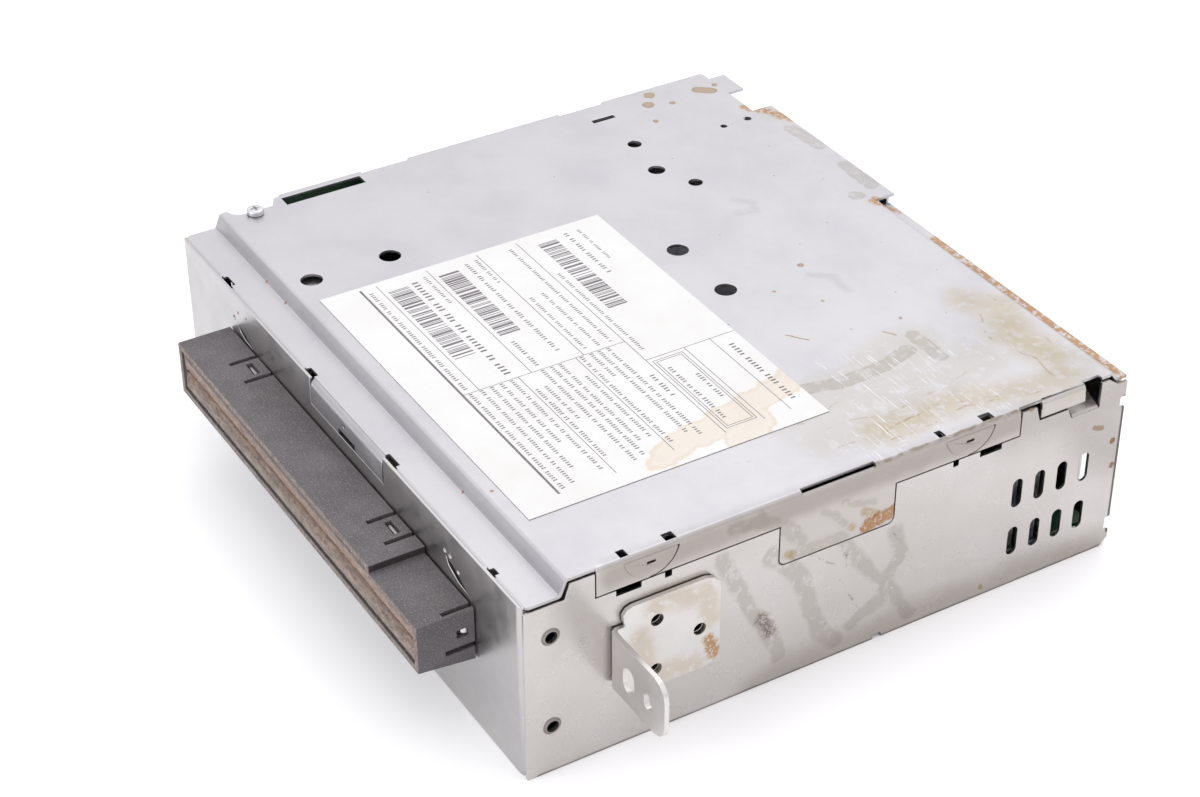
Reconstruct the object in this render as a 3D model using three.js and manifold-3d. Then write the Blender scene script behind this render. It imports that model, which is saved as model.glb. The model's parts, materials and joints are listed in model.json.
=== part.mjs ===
// A single-DIN car radio and disc player module, in millimetres, +Z up.
// X runs to the right as seen from the front, Y runs to the rear.
// The origin is the centre of the case's bottom face.
import * as THREE from 'three';
import { mergeVertices } from 'three/addons/utils/BufferGeometryUtils.js';
import Module from 'manifold-3d';

const wasm = await Module();
wasm.setup();

// Driving dimensions of the case
const caseWidth = 178;
const caseDepth = 164;
const lidTop = 51.5;
const stripTop = 47.7;
const sheet = 0.8;
const fit = 0.3;
const overrun = 2;

// The disc's underside while it is fed in and while it plays, and the middle of both
const feedHeight = 27.4;
const playDrop = 2.2;
const slotCentre = 3.6;
const discCentre = 73.5;

// Mesh fineness
const roundSides = 24;
const smallSides = 12;
const cornerSteps = 3;

const halfWidth = caseWidth / 2;
const front = -caseDepth / 2;
const playHeight = feedHeight - playDrop;

// A place behind the front plane
function back(distance) {
  return front + distance;
}

// Colours and finishes
function finish(color, roughness, metalness) {
  return new THREE.MeshStandardMaterial({ color, roughness, metalness });
}

const zincSheet = finish(0xd6d5d8, 0.45, 0.7);
const brightSteel = finish(0xdcdcdc, 0.25, 0.9);
const blackPlastic = finish(0x4e4a4d, 0.75, 0);
const brownFelt = finish(0x7a6a5f, 1, 0);
const whitePaper = finish(0xf6f6f4, 0.6, 0);
const greenBoard = finish(0x2f5a41, 0.55, 0);
const aluminium = finish(0xb9bcc0, 0.4, 0.8);
const darkEpoxy = finish(0x232325, 0.6, 0);
const whitePlastic = finish(0xe6e2d8, 0.55, 0);
const blackRubber = finish(0x1f1f20, 0.9, 0);
const lensGlass = finish(0x8fa6b8, 0.1, 0);
const brass = finish(0xc8a45a, 0.35, 0.9);
const amberFilm = finish(0xb0763a, 0.5, 0);

// From a three.js geometry to a solid that can be cut and joined
function solid(geometry) {
  const bare = geometry.index ? geometry.toNonIndexed() : geometry.clone();
  bare.deleteAttribute('normal');
  bare.deleteAttribute('uv');
  const merged = mergeVertices(bare, 1e-5);
  const vertProperties = new Float32Array(merged.attributes.position.array);
  const triVerts = new Uint32Array(merged.index.array);
  return new wasm.Manifold(new wasm.Mesh({ numProp: 3, vertProperties, triVerts }));
}

function unite(...parts) {
  return parts.flat().reduce((whole, part) => whole.add(part));
}

function cut(body, ...tools) {
  return tools.flat().reduce((rest, tool) => rest.subtract(tool), body);
}

// A block between two corners
function box(x0, x1, y0, y1, z0, z1) {
  const geometry = new THREE.BoxGeometry(x1 - x0, y1 - y0, z1 - z0);
  geometry.translate((x0 + x1) / 2, (y0 + y1) / 2, (z0 + z1) / 2);
  return solid(geometry);
}

// A straight prism: X takes (y, z) outlines, Y takes (x, z) and Z takes (x, y)
function prism(axis, outline, from, to) {
  const shape = new THREE.Shape(outline.map(([u, v]) => new THREE.Vector2(u, v)));
  const geometry = new THREE.ExtrudeGeometry(shape, { depth: to - from, bevelEnabled: false });
  const turn = new THREE.Matrix4();
  if (axis === 'X') {
    turn.set(0, 0, 1, from, 1, 0, 0, 0, 0, 1, 0, 0, 0, 0, 0, 1);
  } else if (axis === 'Y') {
    turn.set(1, 0, 0, 0, 0, 0, -1, to, 0, 1, 0, 0, 0, 0, 0, 1);
  } else {
    turn.makeTranslation(0, 0, from);
  }
  geometry.applyMatrix4(turn);
  return solid(geometry);
}

// A round bar along an axis; u and v are its place across that axis
function rod(axis, radius, from, to, u, v, sides = roundSides, endRadius = radius) {
  const geometry = new THREE.CylinderGeometry(endRadius, radius, to - from, sides);
  const middle = (from + to) / 2;
  if (axis === 'X') {
    geometry.rotateZ(-Math.PI / 2);
    geometry.translate(middle, u, v);
  } else if (axis === 'Y') {
    geometry.translate(u, middle, v);
  } else {
    geometry.rotateX(Math.PI / 2);
    geometry.translate(u, v, middle);
  }
  return solid(geometry);
}

// The left twin of a right-hand solid
function mirrored(body) {
  const geometry = surface(body);
  geometry.scale(-1, 1, 1);
  const index = geometry.index.array;
  for (let i = 0; i < index.length; i += 3) {
    [index[i], index[i + 1]] = [index[i + 1], index[i]];
  }
  return solid(geometry);
}

// Points of an arc that rounds a corner between two straight runs
function cornerArc(before, corner, after, radius) {
  const toBefore = new THREE.Vector2(...before).sub(new THREE.Vector2(...corner));
  const toAfter = new THREE.Vector2(...after).sub(new THREE.Vector2(...corner));
  const inside = toBefore.angleTo(toAfter);
  const reach = radius / Math.tan(inside / 2);
  const start = toBefore.setLength(reach).add(new THREE.Vector2(...corner));
  const end = toAfter.setLength(reach).add(new THREE.Vector2(...corner));
  const middle = start.clone().add(end).multiplyScalar(1 / 2);
  const outward = new THREE.Vector2(...corner).sub(middle);
  const centre = new THREE.Vector2(...corner).sub(outward.setLength(radius / Math.sin(inside / 2)));
  const first = start.clone().sub(centre);
  const sweep = Math.sign(first.cross(end.clone().sub(centre))) * (Math.PI - inside);
  return Array.from({ length: cornerSteps + 1 }, (_, step) => {
    const angle = sweep * step / cornerSteps;
    const point = first.clone().rotateAround(new THREE.Vector2(), angle).add(centre);
    return [point.x, point.y];
  });
}

// A closed outline with every corner rounded, by one radius or by one for each
function rounded(points, radius) {
  const last = points.length - 1;
  return points.flatMap((corner, i) =>
    cornerArc(points[i ? i - 1 : last], corner, points[i < last ? i + 1 : 0], radius[i] || radius));
}

// The outline of a folded sheet whose middle follows a line with round bends
function folded(line, thickness, radius) {
  const middle = [line[0]];
  for (let i = 1; i < line.length - 1; i += 1) {
    middle.push(...cornerArc(line[i - 1], line[i], line[i + 1], radius));
  }
  middle.push(line[line.length - 1]);
  const sides = [[], []];
  middle.forEach((point, i) => {
    const here = new THREE.Vector2(...point);
    const ahead = new THREE.Vector2(...(middle[i + 1] || point)).sub(here).normalize();
    const behind = here.clone().sub(new THREE.Vector2(...(middle[i - 1] || point))).normalize();
    const along = ahead.clone().add(behind).normalize();
    const widen = (ahead.length() && behind.length()) ? 1 / along.dot(behind) : 1;
    const across = new THREE.Vector2(-along.y, along.x).multiplyScalar(widen * thickness / 2);
    sides[0].push([here.x + across.x, here.y + across.y]);
    sides[1].unshift([here.x - across.x, here.y - across.y]);
  });
  return [...sides[0], ...sides[1]];
}

// A slot with round ends, upright in (u, v)
function obround(u, v, width, height) {
  const radius = width / 2;
  const straight = height / 2 - radius;
  const half = roundSides / 2;
  return Array.from({ length: 2 * (half + 1) }, (_, i) => {
    const top = i <= half;
    const angle = Math.PI * (top ? i : i - 1) / half;
    return [u + radius * Math.cos(angle), v + radius * Math.sin(angle) + (top ? straight : -straight)];
  });
}

// Back from a solid to a three.js geometry
function surface(body) {
  const { vertProperties, triVerts, numProp } = body.getMesh();
  const geometry = new THREE.BufferGeometry();
  const position = new Float32Array(vertProperties.length / numProp * 3);
  for (let i = 0; i < position.length / 3; i += 1) {
    for (let k = 0; k < 3; k += 1) {
      position[3 * i + k] = vertProperties[numProp * i + k];
    }
  }
  geometry.setAttribute('position', new THREE.BufferAttribute(position, 3));
  geometry.setIndex(new THREE.BufferAttribute(new Uint32Array(triVerts), 1));
  return geometry;
}

const radio = new THREE.Group();

function add(name, body, material, group = radio) {
  const mesh = new THREE.Mesh(surface(body), material);
  mesh.name = name;
  group.add(mesh);
  return mesh;
}

// Lid: a folded sheet with a lowered strip at the front
const stripDepth = 9.4;
const stepRun = 1.6;
const bendRadius = 1.2;
const stepBend = 0.7;
const lipBend = 0.9;
const lidRearMargin = 4.6;
const lidDepth = caseDepth - lidRearMargin;
const cornerReveal = 0.6;
const stripCorner = 1.1;
const lidUnder = lidTop - sheet;
const lidHalf = halfWidth - cornerReveal;
const panelLap = sheet + fit;

// Tabs at the lid's rear edge, and where its lowered rear strip starts
const rearTabShares = [-0.48, -0.424];
const rearTabProud = 0.4;
const rearAwningShares = [-0.3555, -0.0345];
const rearAwningProud = 1.5;
const rearStripShare = -0.0331;
const rearStripLeft = rearStripShare * caseWidth;

function rearTab([x0, x1], proud) {
  const root = back(lidDepth);
  const tip = back(caseDepth + proud);
  return [[x0 * caseWidth, root], [x0 * caseWidth, tip], [x1 * caseWidth, tip], [x1 * caseWidth, root]];
}

function lidSheet() {
  const line = [
    [back(panelLap), stripTop - sheet / 2],
    [back(stripDepth), stripTop - sheet / 2],
    [back(stripDepth + stepRun), lidTop - sheet / 2],
    [back(caseDepth + overrun), lidTop - sheet / 2],
  ];
  const plan = [
    ...cornerArc([lidHalf, back(lidDepth)], [lidHalf, back(panelLap)], [0, back(panelLap)], stripCorner),
    ...cornerArc([0, back(panelLap)], [-lidHalf, back(panelLap)], [-lidHalf, back(lidDepth)], stripCorner),
    [-lidHalf, back(lidDepth)],
    ...rearTab(rearTabShares, rearTabProud),
    ...rearTab(rearAwningShares, rearAwningProud),
    [rearStripLeft, back(lidDepth)],
    [rearStripLeft, back(lidDepth - sheet)],
    [lidHalf, back(lidDepth - sheet)],
  ].reverse();
  return prism('X', folded(line, sheet, stepBend), -halfWidth, halfWidth)
    .intersect(prism('Z', plan, 0, lidTop + overrun));
}

// Side lips: the right ones lie flush in a pocket of the side, the left ones stand outside it
const lipX = halfWidth - sheet / 2;
const leftLipX = halfWidth + fit + sheet / 2;
const lipStart = 18;
const lipRearMargin = 32.2;
const lipEnd = caseDepth - lipRearMargin;
const lipBottom = 44.1;
const tabStart = 65.3;
const tabEnd = 96.5;
const tabBottom = 33.2;
const tabCorner = 1.5;
const lipRootWidth = 9;
const rearBreakLength = 6;
const rearLipLength = 13.1;
const rearLipStart = lipEnd + rearBreakLength;
const rearLipEnd = rearLipStart + rearLipLength;
const rearLipBottom = 46.9;
const leftLipShares = [[0.171, 0.315], [0.402, 0.685], [0.771, 0.97]];

const leftLipRanges = leftLipShares.map(([start, end]) => [start * caseDepth, end * caseDepth]);

function sideLip(start, end, bottom, x = lipX) {
  const line = [[halfWidth - lipRootWidth, lidTop - sheet / 2], [x, lidTop - sheet / 2], [x, bottom]];
  return prism('Y', folded(line, sheet, lipBend), back(start), back(end));
}

// The outline of the right lip with its big tab, grown by a margin
function lipOutline(margin) {
  const above = lidTop + overrun;
  const low = lipBottom - margin;
  const tabLow = tabBottom - margin;
  const tabFront = back(tabStart - margin);
  const tabRear = back(tabEnd + margin);
  const radius = tabCorner + margin;
  return [
    [back(lipStart - margin), low],
    [tabFront, low],
    ...cornerArc([tabFront, low], [tabFront, tabLow], [tabRear, tabLow], radius),
    ...cornerArc([tabFront, tabLow], [tabRear, tabLow], [tabRear, low], radius),
    [tabRear, low],
    [back(lipEnd + margin), low],
    [back(lipEnd + margin), above],
    [back(lipStart - margin), above],
  ];
}

function bigTabLip() {
  return sideLip(lipStart, lipEnd, tabBottom).intersect(prism('X', lipOutline(0), 0, halfWidth + overrun));
}

// Half-round tongues pressed out of the right lip, each with a slit round its lower rear edge
const tonguePlaces = [31.5, 117];
const tongueRadius = 6.9;
const tongueRise = 0.3;
const tongueSlit = 0.6;
const tongueTop = 50.1;
const tongueKey = 2.2;
const tongueKeyHeight = 0.7;
const tongueKeyDrop = 1.4;
const lipOuter = lipX + sheet / 2;

function tongueDisc(radius, x0, x1, place) {
  return rod('X', radius, x0, x1, back(place), lidTop, roundSides * 2);
}

function belowTongueTop(body, place) {
  const y = back(place);
  const reach = tongueRadius + overrun;
  return body.intersect(box(0, halfWidth + 2 * overrun, y - reach, y + reach, 0, tongueTop));
}

function raisedTongue(place) {
  return belowTongueTop(tongueDisc(tongueRadius, lipOuter - sheet / 2, lipOuter + tongueRise, place), place);
}

function tongueCuts(place) {
  const y = back(place);
  const x0 = lipX - overrun;
  const x1 = lipOuter + overrun;
  const ring = tongueDisc(tongueRadius + tongueSlit, x0, x1, place)
    .subtract(tongueDisc(tongueRadius, x0 - overrun, x1 + overrun, place));
  const rearHalf = box(x0 - overrun, x1 + overrun, y, y + 2 * tongueRadius, 0, tongueTop);
  const key = tongueTop - tongueKeyDrop;
  return [
    ring.intersect(rearHalf),
    box(x0, x1, y - tongueKey / 2, y + tongueKey / 2, key - tongueKeyHeight, key),
  ];
}

// Relief holes and slots along the right bend: start, end, how far in and how far down
const reliefIn = 3.4;
const reliefDown = 1.7;
const reliefEdge = 1;
const reliefPlaces = [[24.5, 26.5], [35.9, 38.6], [108.9, 110.7], [121.3, 124.6]];
const bendSlot = [70.8, 90.8];
const bendSlotIn = 1.5;
const bendSlotDown = 0.2;
const rearBreak = [lipEnd - fit / 2, rearLipStart + fit / 2];
const rearBreakIn = 0.8;
const rearGapLength = 5.1;
const rearGap = [rearLipEnd - fit / 2, rearLipEnd + rearGapLength];
const rearGapIn = 2.1;

function edgeCut([start, end], inwards, bottom = lidUnder - reliefDown) {
  return box(lipOuter - inwards, lipOuter + overrun, back(start), back(end), bottom, lidTop + overrun);
}

function reliefHole([start, end]) {
  return box(lipOuter - reliefIn, lipOuter - reliefEdge, back(start), back(end),
    lidUnder - overrun, lidTop + overrun);
}

// Round holes in the lid: places as shares of the case's width and depth, then size shares
const lidHole = 5.6;
const lidHoleShares = [
  [-0.263, 0.104, 1], [-0.2635, 0.237, 1], [-0.36, 0.7415, 0.68], [-0.2755, 0.727, 0.82],
  [-0.214, 0.759, 0.68], [-0.0652, 0.6226, 1], [0.0584, 0.6226, 1], [-0.337, 0.9006, 0.34],
  [-0.3385, 0.9488, 0.4],
];
const windowWidth = 3.9;
const windowLength = 22.7;
const windowIn = 3.65;
const windowMiddle = 39.05;
const slitWidth = 1.7;
const slitLength = 6.9;
const slitIn = 8.5;
const slitMiddle = 121.75;

function lidHoles() {
  const holes = lidHoleShares.map(([x, y, size]) =>
    rod('Z', lidHole * size / 2, stripTop, lidTop + overrun, x * caseWidth, back(y * caseDepth)));
  const windowX = windowIn - halfWidth;
  const slitX = slitIn - halfWidth;
  const window = box(windowX - windowWidth / 2, windowX + windowWidth / 2,
    back(windowMiddle - windowLength / 2), back(windowMiddle + windowLength / 2), stripTop, lidTop + overrun);
  const slit = box(slitX - slitWidth / 2, slitX + slitWidth / 2,
    back(slitMiddle - slitLength / 2), back(slitMiddle + slitLength / 2), stripTop, lidTop + overrun);
  return [...holes, window, slit];
}

// The lid's left edge draws in round its screw
const screwIn = 5.4;
const screwBack = 18.7;
const pocketStart = 13.4;
const pocketEnd = 25.8;
const pocketIn = 4;
const screwRadius = 1.3;
const screwX = screwIn - halfWidth;

function screwPocket() {
  const slope = stepRun;
  return prism('Z', [
    [-halfWidth - overrun, back(pocketStart - slope)],
    [pocketIn - halfWidth - slope, back(pocketStart)],
    [pocketIn - halfWidth, back(pocketStart + slope)],
    [pocketIn - halfWidth, back(pocketEnd - slope)],
    [-halfWidth - overrun, back(pocketEnd + slope)],
  ], stripTop, lidTop + overrun);
}

// Notches in the strip's front edge: left and right ends, the widest beside the flange
const notchDepth = 1.1;
const notchShares = [[-0.365, -0.339], [-0.095, -0.0725], [0.1355, 0.1646], [0.409, 0.4225]];

// Middle flange of the lid, bent down over the front panel
const flangeWidth = 37.3;
const flangeShift = 2.05;
const flangeLeft = slotCentre + flangeShift - flangeWidth / 2;
const flangeRight = flangeLeft + flangeWidth;
const flangeBottom = 40.4;
const frontBend = 2;
const flangeWindow = 8.6;
const flangeWindowRise = 1.4;
const flangeDot = 1;

function frontFlange() {
  const face = back(sheet / 2);
  const high = stripTop - sheet / 2;
  const line = [[back(stripDepth / 2), high], [face, high], [face, flangeBottom]];
  const middle = (flangeLeft + flangeRight) / 2;
  const flange = prism('X', folded(line, sheet, frontBend), flangeLeft, flangeRight);
  return cut(flange,
    box(middle - flangeWindow / 2, middle + flangeWindow / 2, front - overrun, back(overrun),
      flangeBottom - overrun, flangeBottom + flangeWindowRise),
    rod('Y', flangeDot / 2, front - overrun, back(overrun), middle - flangeDot,
      (flangeBottom + stripTop) / 2, smallSides));
}

// The hook and the lowered strip at the lid's rear edge
const rearHookShares = [-0.054, -0.0352];
const rearHookDrop = 3.5;
const rearStripTop = 49.4;
const rearStripRun = 1.4;
const rearPlane = caseDepth - fit / 3;

function lidRear() {
  const hookY = back(caseDepth - sheet / 2);
  const hookLine = [
    [back(lidDepth - overrun), lidTop - sheet / 2],
    [hookY, lidTop - sheet / 2],
    [hookY, lidTop - rearHookDrop],
  ];
  const stripLine = [
    [back(lidDepth - overrun), lidTop - sheet / 2],
    [back(lidDepth), lidTop - sheet / 2],
    [back(lidDepth + rearStripRun), rearStripTop - sheet / 2],
    [back(rearPlane), rearStripTop - sheet / 2],
  ];
  return [
    prism('X', folded(hookLine, sheet, sheet), ...rearHookShares.map((share) => share * caseWidth)),
    prism('X', folded(stripLine, sheet, sheet), rearStripLeft, lidHalf - fit),
  ];
}

function topLid() {
  const bendIn = lipBend + fit;
  const rightBend = ([start, end]) => edgeCut([start + fit, end - fit], lipOuter - lidHalf + bendIn);
  const leftBend = (range) => mirrored(rightBend(range));
  const body = cut(lidSheet(),
    rightBend([lipStart, lipEnd]),
    rightBend([rearLipStart, rearLipEnd]),
    leftLipRanges.map(leftBend));
  const whole = unite(body,
    bigTabLip(),
    sideLip(rearLipStart, rearLipEnd, rearLipBottom),
    leftLipRanges.map(([start, end]) => mirrored(sideLip(start, end, lipBottom, leftLipX))),
    tonguePlaces.map(raisedTongue),
    frontFlange(),
    lidRear());
  return cut(whole,
    lidHoles(),
    screwPocket(),
    rod('Z', screwRadius + fit, stripTop, lidTop + overrun, screwX, back(screwBack), smallSides),
    notchShares.map(([x0, x1]) => box(x0 * caseWidth, x1 * caseWidth, front - overrun,
      back(panelLap + notchDepth), 0, lidTop)),
    reliefPlaces.map(reliefHole),
    edgeCut(bendSlot, bendSlotIn, lidUnder - bendSlotDown),
    edgeCut(rearBreak, rearBreakIn),
    edgeCut(rearGap, rearGapIn),
    tonguePlaces.flatMap(tongueCuts));
}

add('top_lid', topLid(), zincSheet);

// Lid screw: pan head with a cross recess
const screwHeadRadius = 2.25;
const screwHeadHeight = 1.7;
const screwLength = 5;
const recessReach = 1.3;
const recessWidth = 0.6;
const recessDepth = 0.9;

function crossScrew(x, y, seat, length) {
  const top = seat + screwHeadHeight;
  const head = rod('Z', screwHeadRadius, seat, top, x, y, roundSides, screwHeadRadius * 0.8);
  const bar = (u, v) => box(x - u, x + u, y - v, y + v, top - recessDepth, top + overrun);
  return cut(unite(head, rod('Z', screwRadius, seat - length, seat + recessWidth, x, y, smallSides)),
    bar(recessReach, recessWidth / 2),
    bar(recessWidth / 2, recessReach));
}

add('lid_screw', crossScrew(screwX, back(screwBack), lidTop + fit / 4, screwLength), brightSteel);

// Label on the lid
const labelWidth = 103.6;
const labelLength = 79.2;
const labelShare = 0.0837;
const labelFront = 14.4;
const labelThickness = 0.15;
const labelGap = 0.05;

const labelX = labelShare * caseWidth;

add('rating_label', box(labelX - labelWidth / 2, labelX + labelWidth / 2,
  back(labelFront), back(labelFront + labelLength),
  lidTop + labelGap, lidTop + labelGap + labelThickness), whitePaper);

// Sides of the case, the left one starting behind the front panel's return
const panInset = 12;
const sideStart = 0.2;
const sideEnd = caseDepth - fit - fit / 3;
const sideInner = halfWidth - sheet;
const sideTop = lidUnder - fit;
const sideStripTop = stripTop - sheet - fit;
const rearCornerCut = 2.2;
const rearSeatTop = 46.3;
const rearSlotTop = 43.5;
const rearPostStart = rearLipEnd + rearGapLength - fit;
const sideFlangeWidth = 8;
const sideFlangeStart = 28.5;
const sideFlangeEnd = 129;

function sideOutline() {
  const rearTop = rearStripTop - sheet - fit;
  return [
    [back(sideStart), 0],
    [back(sideEnd - rearCornerCut), 0],
    [back(sideEnd), rearCornerCut],
    [back(sideEnd), rearTop],
    [back(lidDepth + rearStripRun), rearTop],
    [back(lidDepth - rearStripRun), sideTop],
    [back(rearPostStart), sideTop],
    [back(rearPostStart), rearSlotTop],
    [back(rearLipStart + stripDepth), rearSlotTop],
    [back(rearLipStart + stripDepth - bendRadius), rearSeatTop],
    [back(rearLipStart - fit), rearSeatTop],
    [back(rearLipStart - fit - bendRadius), sideTop],
    [back(stripDepth + stepRun + sheet / 4 + fit), sideTop],
    [back(stripDepth + sheet), sideStripTop],
    [back(sideStart), sideStripTop],
  ];
}

// Vent slots: two rows of four
const ventWidth = 2.9;
const ventHeight = 8.1;
const ventPitch = 6.67;
const ventRearMargin = 31.05;
const ventCount = 4;
const ventRows = [13.05, 27.15];

function vents() {
  const places = ventRows.flatMap((z) => Array.from({ length: ventCount }, (_, i) => [i, z]));
  return places.map(([i, z]) => {
    const outline = obround(back(caseDepth - ventRearMargin + i * ventPitch), z, ventWidth, ventHeight);
    return prism('X', outline, sideInner - overrun, halfWidth + overrun);
  });
}

// Holes in flared collars near the front, and the relief slots under the lid's lip
const collarBack = 6.6;
const collarHeights = [13.2, 38.2];
const collarRadius = 2.7;
const collarTip = 1.8;
const collarHole = 1.5;
const collarRise = 0.45;
const lipSlots = [[22.9, 29.3], [35.2, 37], [112.8, 114.4], [120.5, 126.8]];
const lipSlotDrop = 1.9;
const lipSlotRise = 1.5;
const bottomNotch = [93, 95.4];
const bottomNotchRise = 1.3;
const rearHookHeights = [[4.5, 8.5], [41, 44]];
const rearHookIn = 1.5;

function collars() {
  return collarHeights.map((z) =>
    rod('X', collarRadius, sideInner, halfWidth + collarRise, back(collarBack), z, roundSides, collarTip));
}

function sideCuts() {
  const x0 = sideInner - overrun;
  const x1 = halfWidth + overrun;
  return [
    ...vents(),
    ...collarHeights.map((z) => rod('X', collarHole, x0, x1, back(collarBack), z)),
    ...lipSlots.map(([start, end]) =>
      box(x0, x1, back(start), back(end), lipBottom - lipSlotDrop, lipBottom + lipSlotRise)),
    box(x0, x1, back(bottomNotch[0]), back(bottomNotch[1]), -overrun, bottomNotchRise),
    ...rearHookHeights.map(([low, high]) =>
      box(x0, x1, back(sideEnd - rearHookIn), back(sideEnd + overrun), low, high)),
    ...bracketHoleShares.map(([y, z]) =>
      rod('X', bracketHole / 2, x0, x1,
        back(bracketEnd + y * bracketLength), bracketBottom + z * bracketHeight)),
  ];
}

// Brackets: a plate on each side and a flange turned out to the front
const bracketSheet = 1.2;
const bracketStart = 20.8;
const bracketEnd = 48.9;
const bracketBottom = 14.1;
const bracketTop = 39.1;
const bracketProud = 23;
const bracketReach = halfWidth + bracketProud;
const bracketCorner = 3.6;
const bracketRound = 1.5;
const bracketTopRound = 2.6;
const bracketEndRound = 4;
const bracketHole = 3.2;
const bracketHoleShares = [[-0.587, 0.748], [-0.192, 0.456], [-0.598, 0.192]];
const bracketLength = bracketEnd - bracketStart;
const bracketHeight = bracketTop - bracketBottom;
const flangeLow = 18.8;
const flangeHigh = 34.3;
const flangeRound = 4.2;
const earHole = [4.4, 6.6];
const earHoleOut = 8.5;
const pinHole = [3, 4];
const pinHoleOut = 16.3;
const earHoleHeight = 25.6;
const bendLow = 16;
const bendHigh = 34;

function bracket() {
  const plateX = halfWidth + fit + bracketSheet / 2;
  const face = back(bracketStart);
  const plateOutline = rounded([
    [back(bracketStart + bracketCorner / 2), bracketTop],
    [back(bracketEnd), bracketTop],
    [back(bracketEnd), bracketBottom],
    [back(bracketStart + 3 * bracketCorner), bracketBottom],
    [back(bracketStart + bracketCorner), bendLow],
    [back(bracketStart + bracketCorner), bendHigh],
  ].reverse(), [
    bracketRound,
    bracketRound,
    bracketRound,
    bracketEndRound,
    bracketEndRound,
    bracketTopRound,
  ]);
  const root = halfWidth + bracketCorner;
  const flangeOutline = [
    [root, flangeLow],
    ...cornerArc([root, flangeLow], [bracketReach, flangeLow], [bracketReach, flangeHigh], flangeRound),
    ...cornerArc([bracketReach, flangeLow], [bracketReach, flangeHigh], [root, flangeHigh], flangeRound),
    [root, flangeHigh],
  ];
  const bend = [
    [plateX, back(bracketStart + 2 * bracketCorner)],
    [plateX, face + bracketSheet / 2],
    [halfWidth + 2 * bracketCorner, face + bracketSheet / 2],
  ];
  const body = unite(
    prism('X', plateOutline, plateX - bracketSheet / 2, plateX + bracketSheet / 2),
    prism('Y', flangeOutline, face, face + bracketSheet),
    prism('Z', folded(bend, bracketSheet, bracketSheet), flangeLow, flangeHigh));
  const x0 = halfWidth - overrun;
  const x1 = halfWidth + 2 * overrun;
  const behind = face + 2 * overrun;
  return cut(body,
    bracketHoleShares.map(([y, z]) =>
      rod('X', bracketHole / 2, x0, x1,
        back(bracketEnd + y * bracketLength), bracketBottom + z * bracketHeight)),
    prism('Y', obround(halfWidth + earHoleOut, earHoleHeight, ...earHole), face - overrun, behind),
    prism('Y', obround(halfWidth + pinHoleOut, earHoleHeight, ...pinHole), face - overrun, behind));
}

// A rolled flap of the side, in the opening near the rear corner
const flapIn = 5.5;
const flapRise = 2.6;

function rolledFlap() {
  const x = halfWidth - sheet / 2;
  const start = rearLipStart + stripDepth + fit;
  const line = [[x, rearSlotTop - flapRise], [x, rearSlotTop], [x - flapIn, rearSlotTop + flapRise]];
  return prism('Y', folded(line, sheet, sheet), back(start), back(rearPostStart - fit));
}

function sideFlange(outer) {
  return box(halfWidth - sideFlangeWidth, outer, back(sideFlangeStart), back(sideFlangeEnd),
    sideTop - sheet, sideTop);
}

// A pocket pressed into the right side, one sheet deep, where the lid's lip and its tab lie
const pressDepth = 1.2;
const pressGap = 0.35;
const pressWall = 1.2;

function rightSidePanel() {
  const inner = sideInner - pressDepth;
  const press = prism('X', lipOutline(pressGap + pressWall), inner, sideInner + sheet / 2)
    .intersect(prism('X', sideOutline(), inner - overrun, halfWidth));
  const plate = unite(prism('X', sideOutline(), sideInner, halfWidth), press, collars(), rolledFlap());
  const body = unite(
    cut(plate, prism('X', lipOutline(pressGap), inner + sheet, halfWidth + overrun)),
    sideFlange(inner + sheet / 2));
  const under = [...reliefPlaces, bendSlot].map(([start, end]) =>
    box(lipOuter - reliefIn - fit, lipOuter - reliefEdge / 2, back(start - fit), back(end + fit),
      sideTop - 2 * sheet, lidTop));
  return cut(body, sideCuts(), deckScrewHoles(), under);
}

// The left side is lower at the lid's screw, which an ear takes, and its flange is open under the window
const windowClear = 0.6;

function leftSidePanel() {
  const plate = unite(
    prism('X', sideOutline(), sideInner, halfWidth),
    sideFlange(sideInner + sheet / 2),
    rolledFlap());
  const behindPan = box(-halfWidth - overrun, -sideInner + overrun, front - overrun, back(panInset + fit),
    -overrun, lidTop);
  const open = box(-sideInner, windowIn - halfWidth + windowWidth / 2 + windowClear,
    back(windowMiddle - windowLength / 2 - windowClear), back(windowMiddle + windowLength / 2 + windowClear),
    sideTop - 2 * sheet, lidTop);
  const x0 = -halfWidth - overrun;
  const earInner = screwX + screwHeadRadius * 2;
  const pocket = box(x0, pocketIn - halfWidth, back(stripDepth + stepRun + fit), back(sideFlangeStart - fit),
    stripTop - sheet - screwHeadHeight, lidTop);
  const ear = box(pocketIn - halfWidth, earInner, back(pocketStart), back(sideFlangeStart + overrun),
    sideTop - sheet, sideTop);
  const body = unite(cut(mirrored(cut(plate, sideCuts(), deckScrewHoles())), pocket), ear);
  const screwWay = rod('Z', screwRadius + fit, stripTop, lidTop, screwX, back(screwBack), smallSides);
  return cut(body, open, behindPan, screwWay);
}

// Disc deck frame: an upside-down tray hung from the sides' flanges by four ears
const deckFrameHalf = 68.1;
const deckLeft = slotCentre - deckFrameHalf;
const deckRight = slotCentre + deckFrameHalf;
const deckFrameTop = sideTop - sheet - fit;
const deckFrameBottom = 14;
const deckFrameStart = 14;
const deckFrameEnd = 128;
const earWidth = 12;
const earStarts = [54, 114];
const earIn = 3.5;
const deckScrewX = halfWidth - sideFlangeWidth / 2 - sheet / 2;

function deckScrewHoles() {
  return earStarts.map((start) =>
    rod('Z', screwRadius + fit, stripTop, lidTop, deckScrewX, back(start + earWidth / 2), smallSides));
}

add('side_panel_right', rightSidePanel(), zincSheet);
add('side_panel_left', leftSidePanel(), zincSheet);
add('bracket_right', bracket(), zincSheet);
add('bracket_left', mirrored(bracket()), zincSheet);

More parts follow.
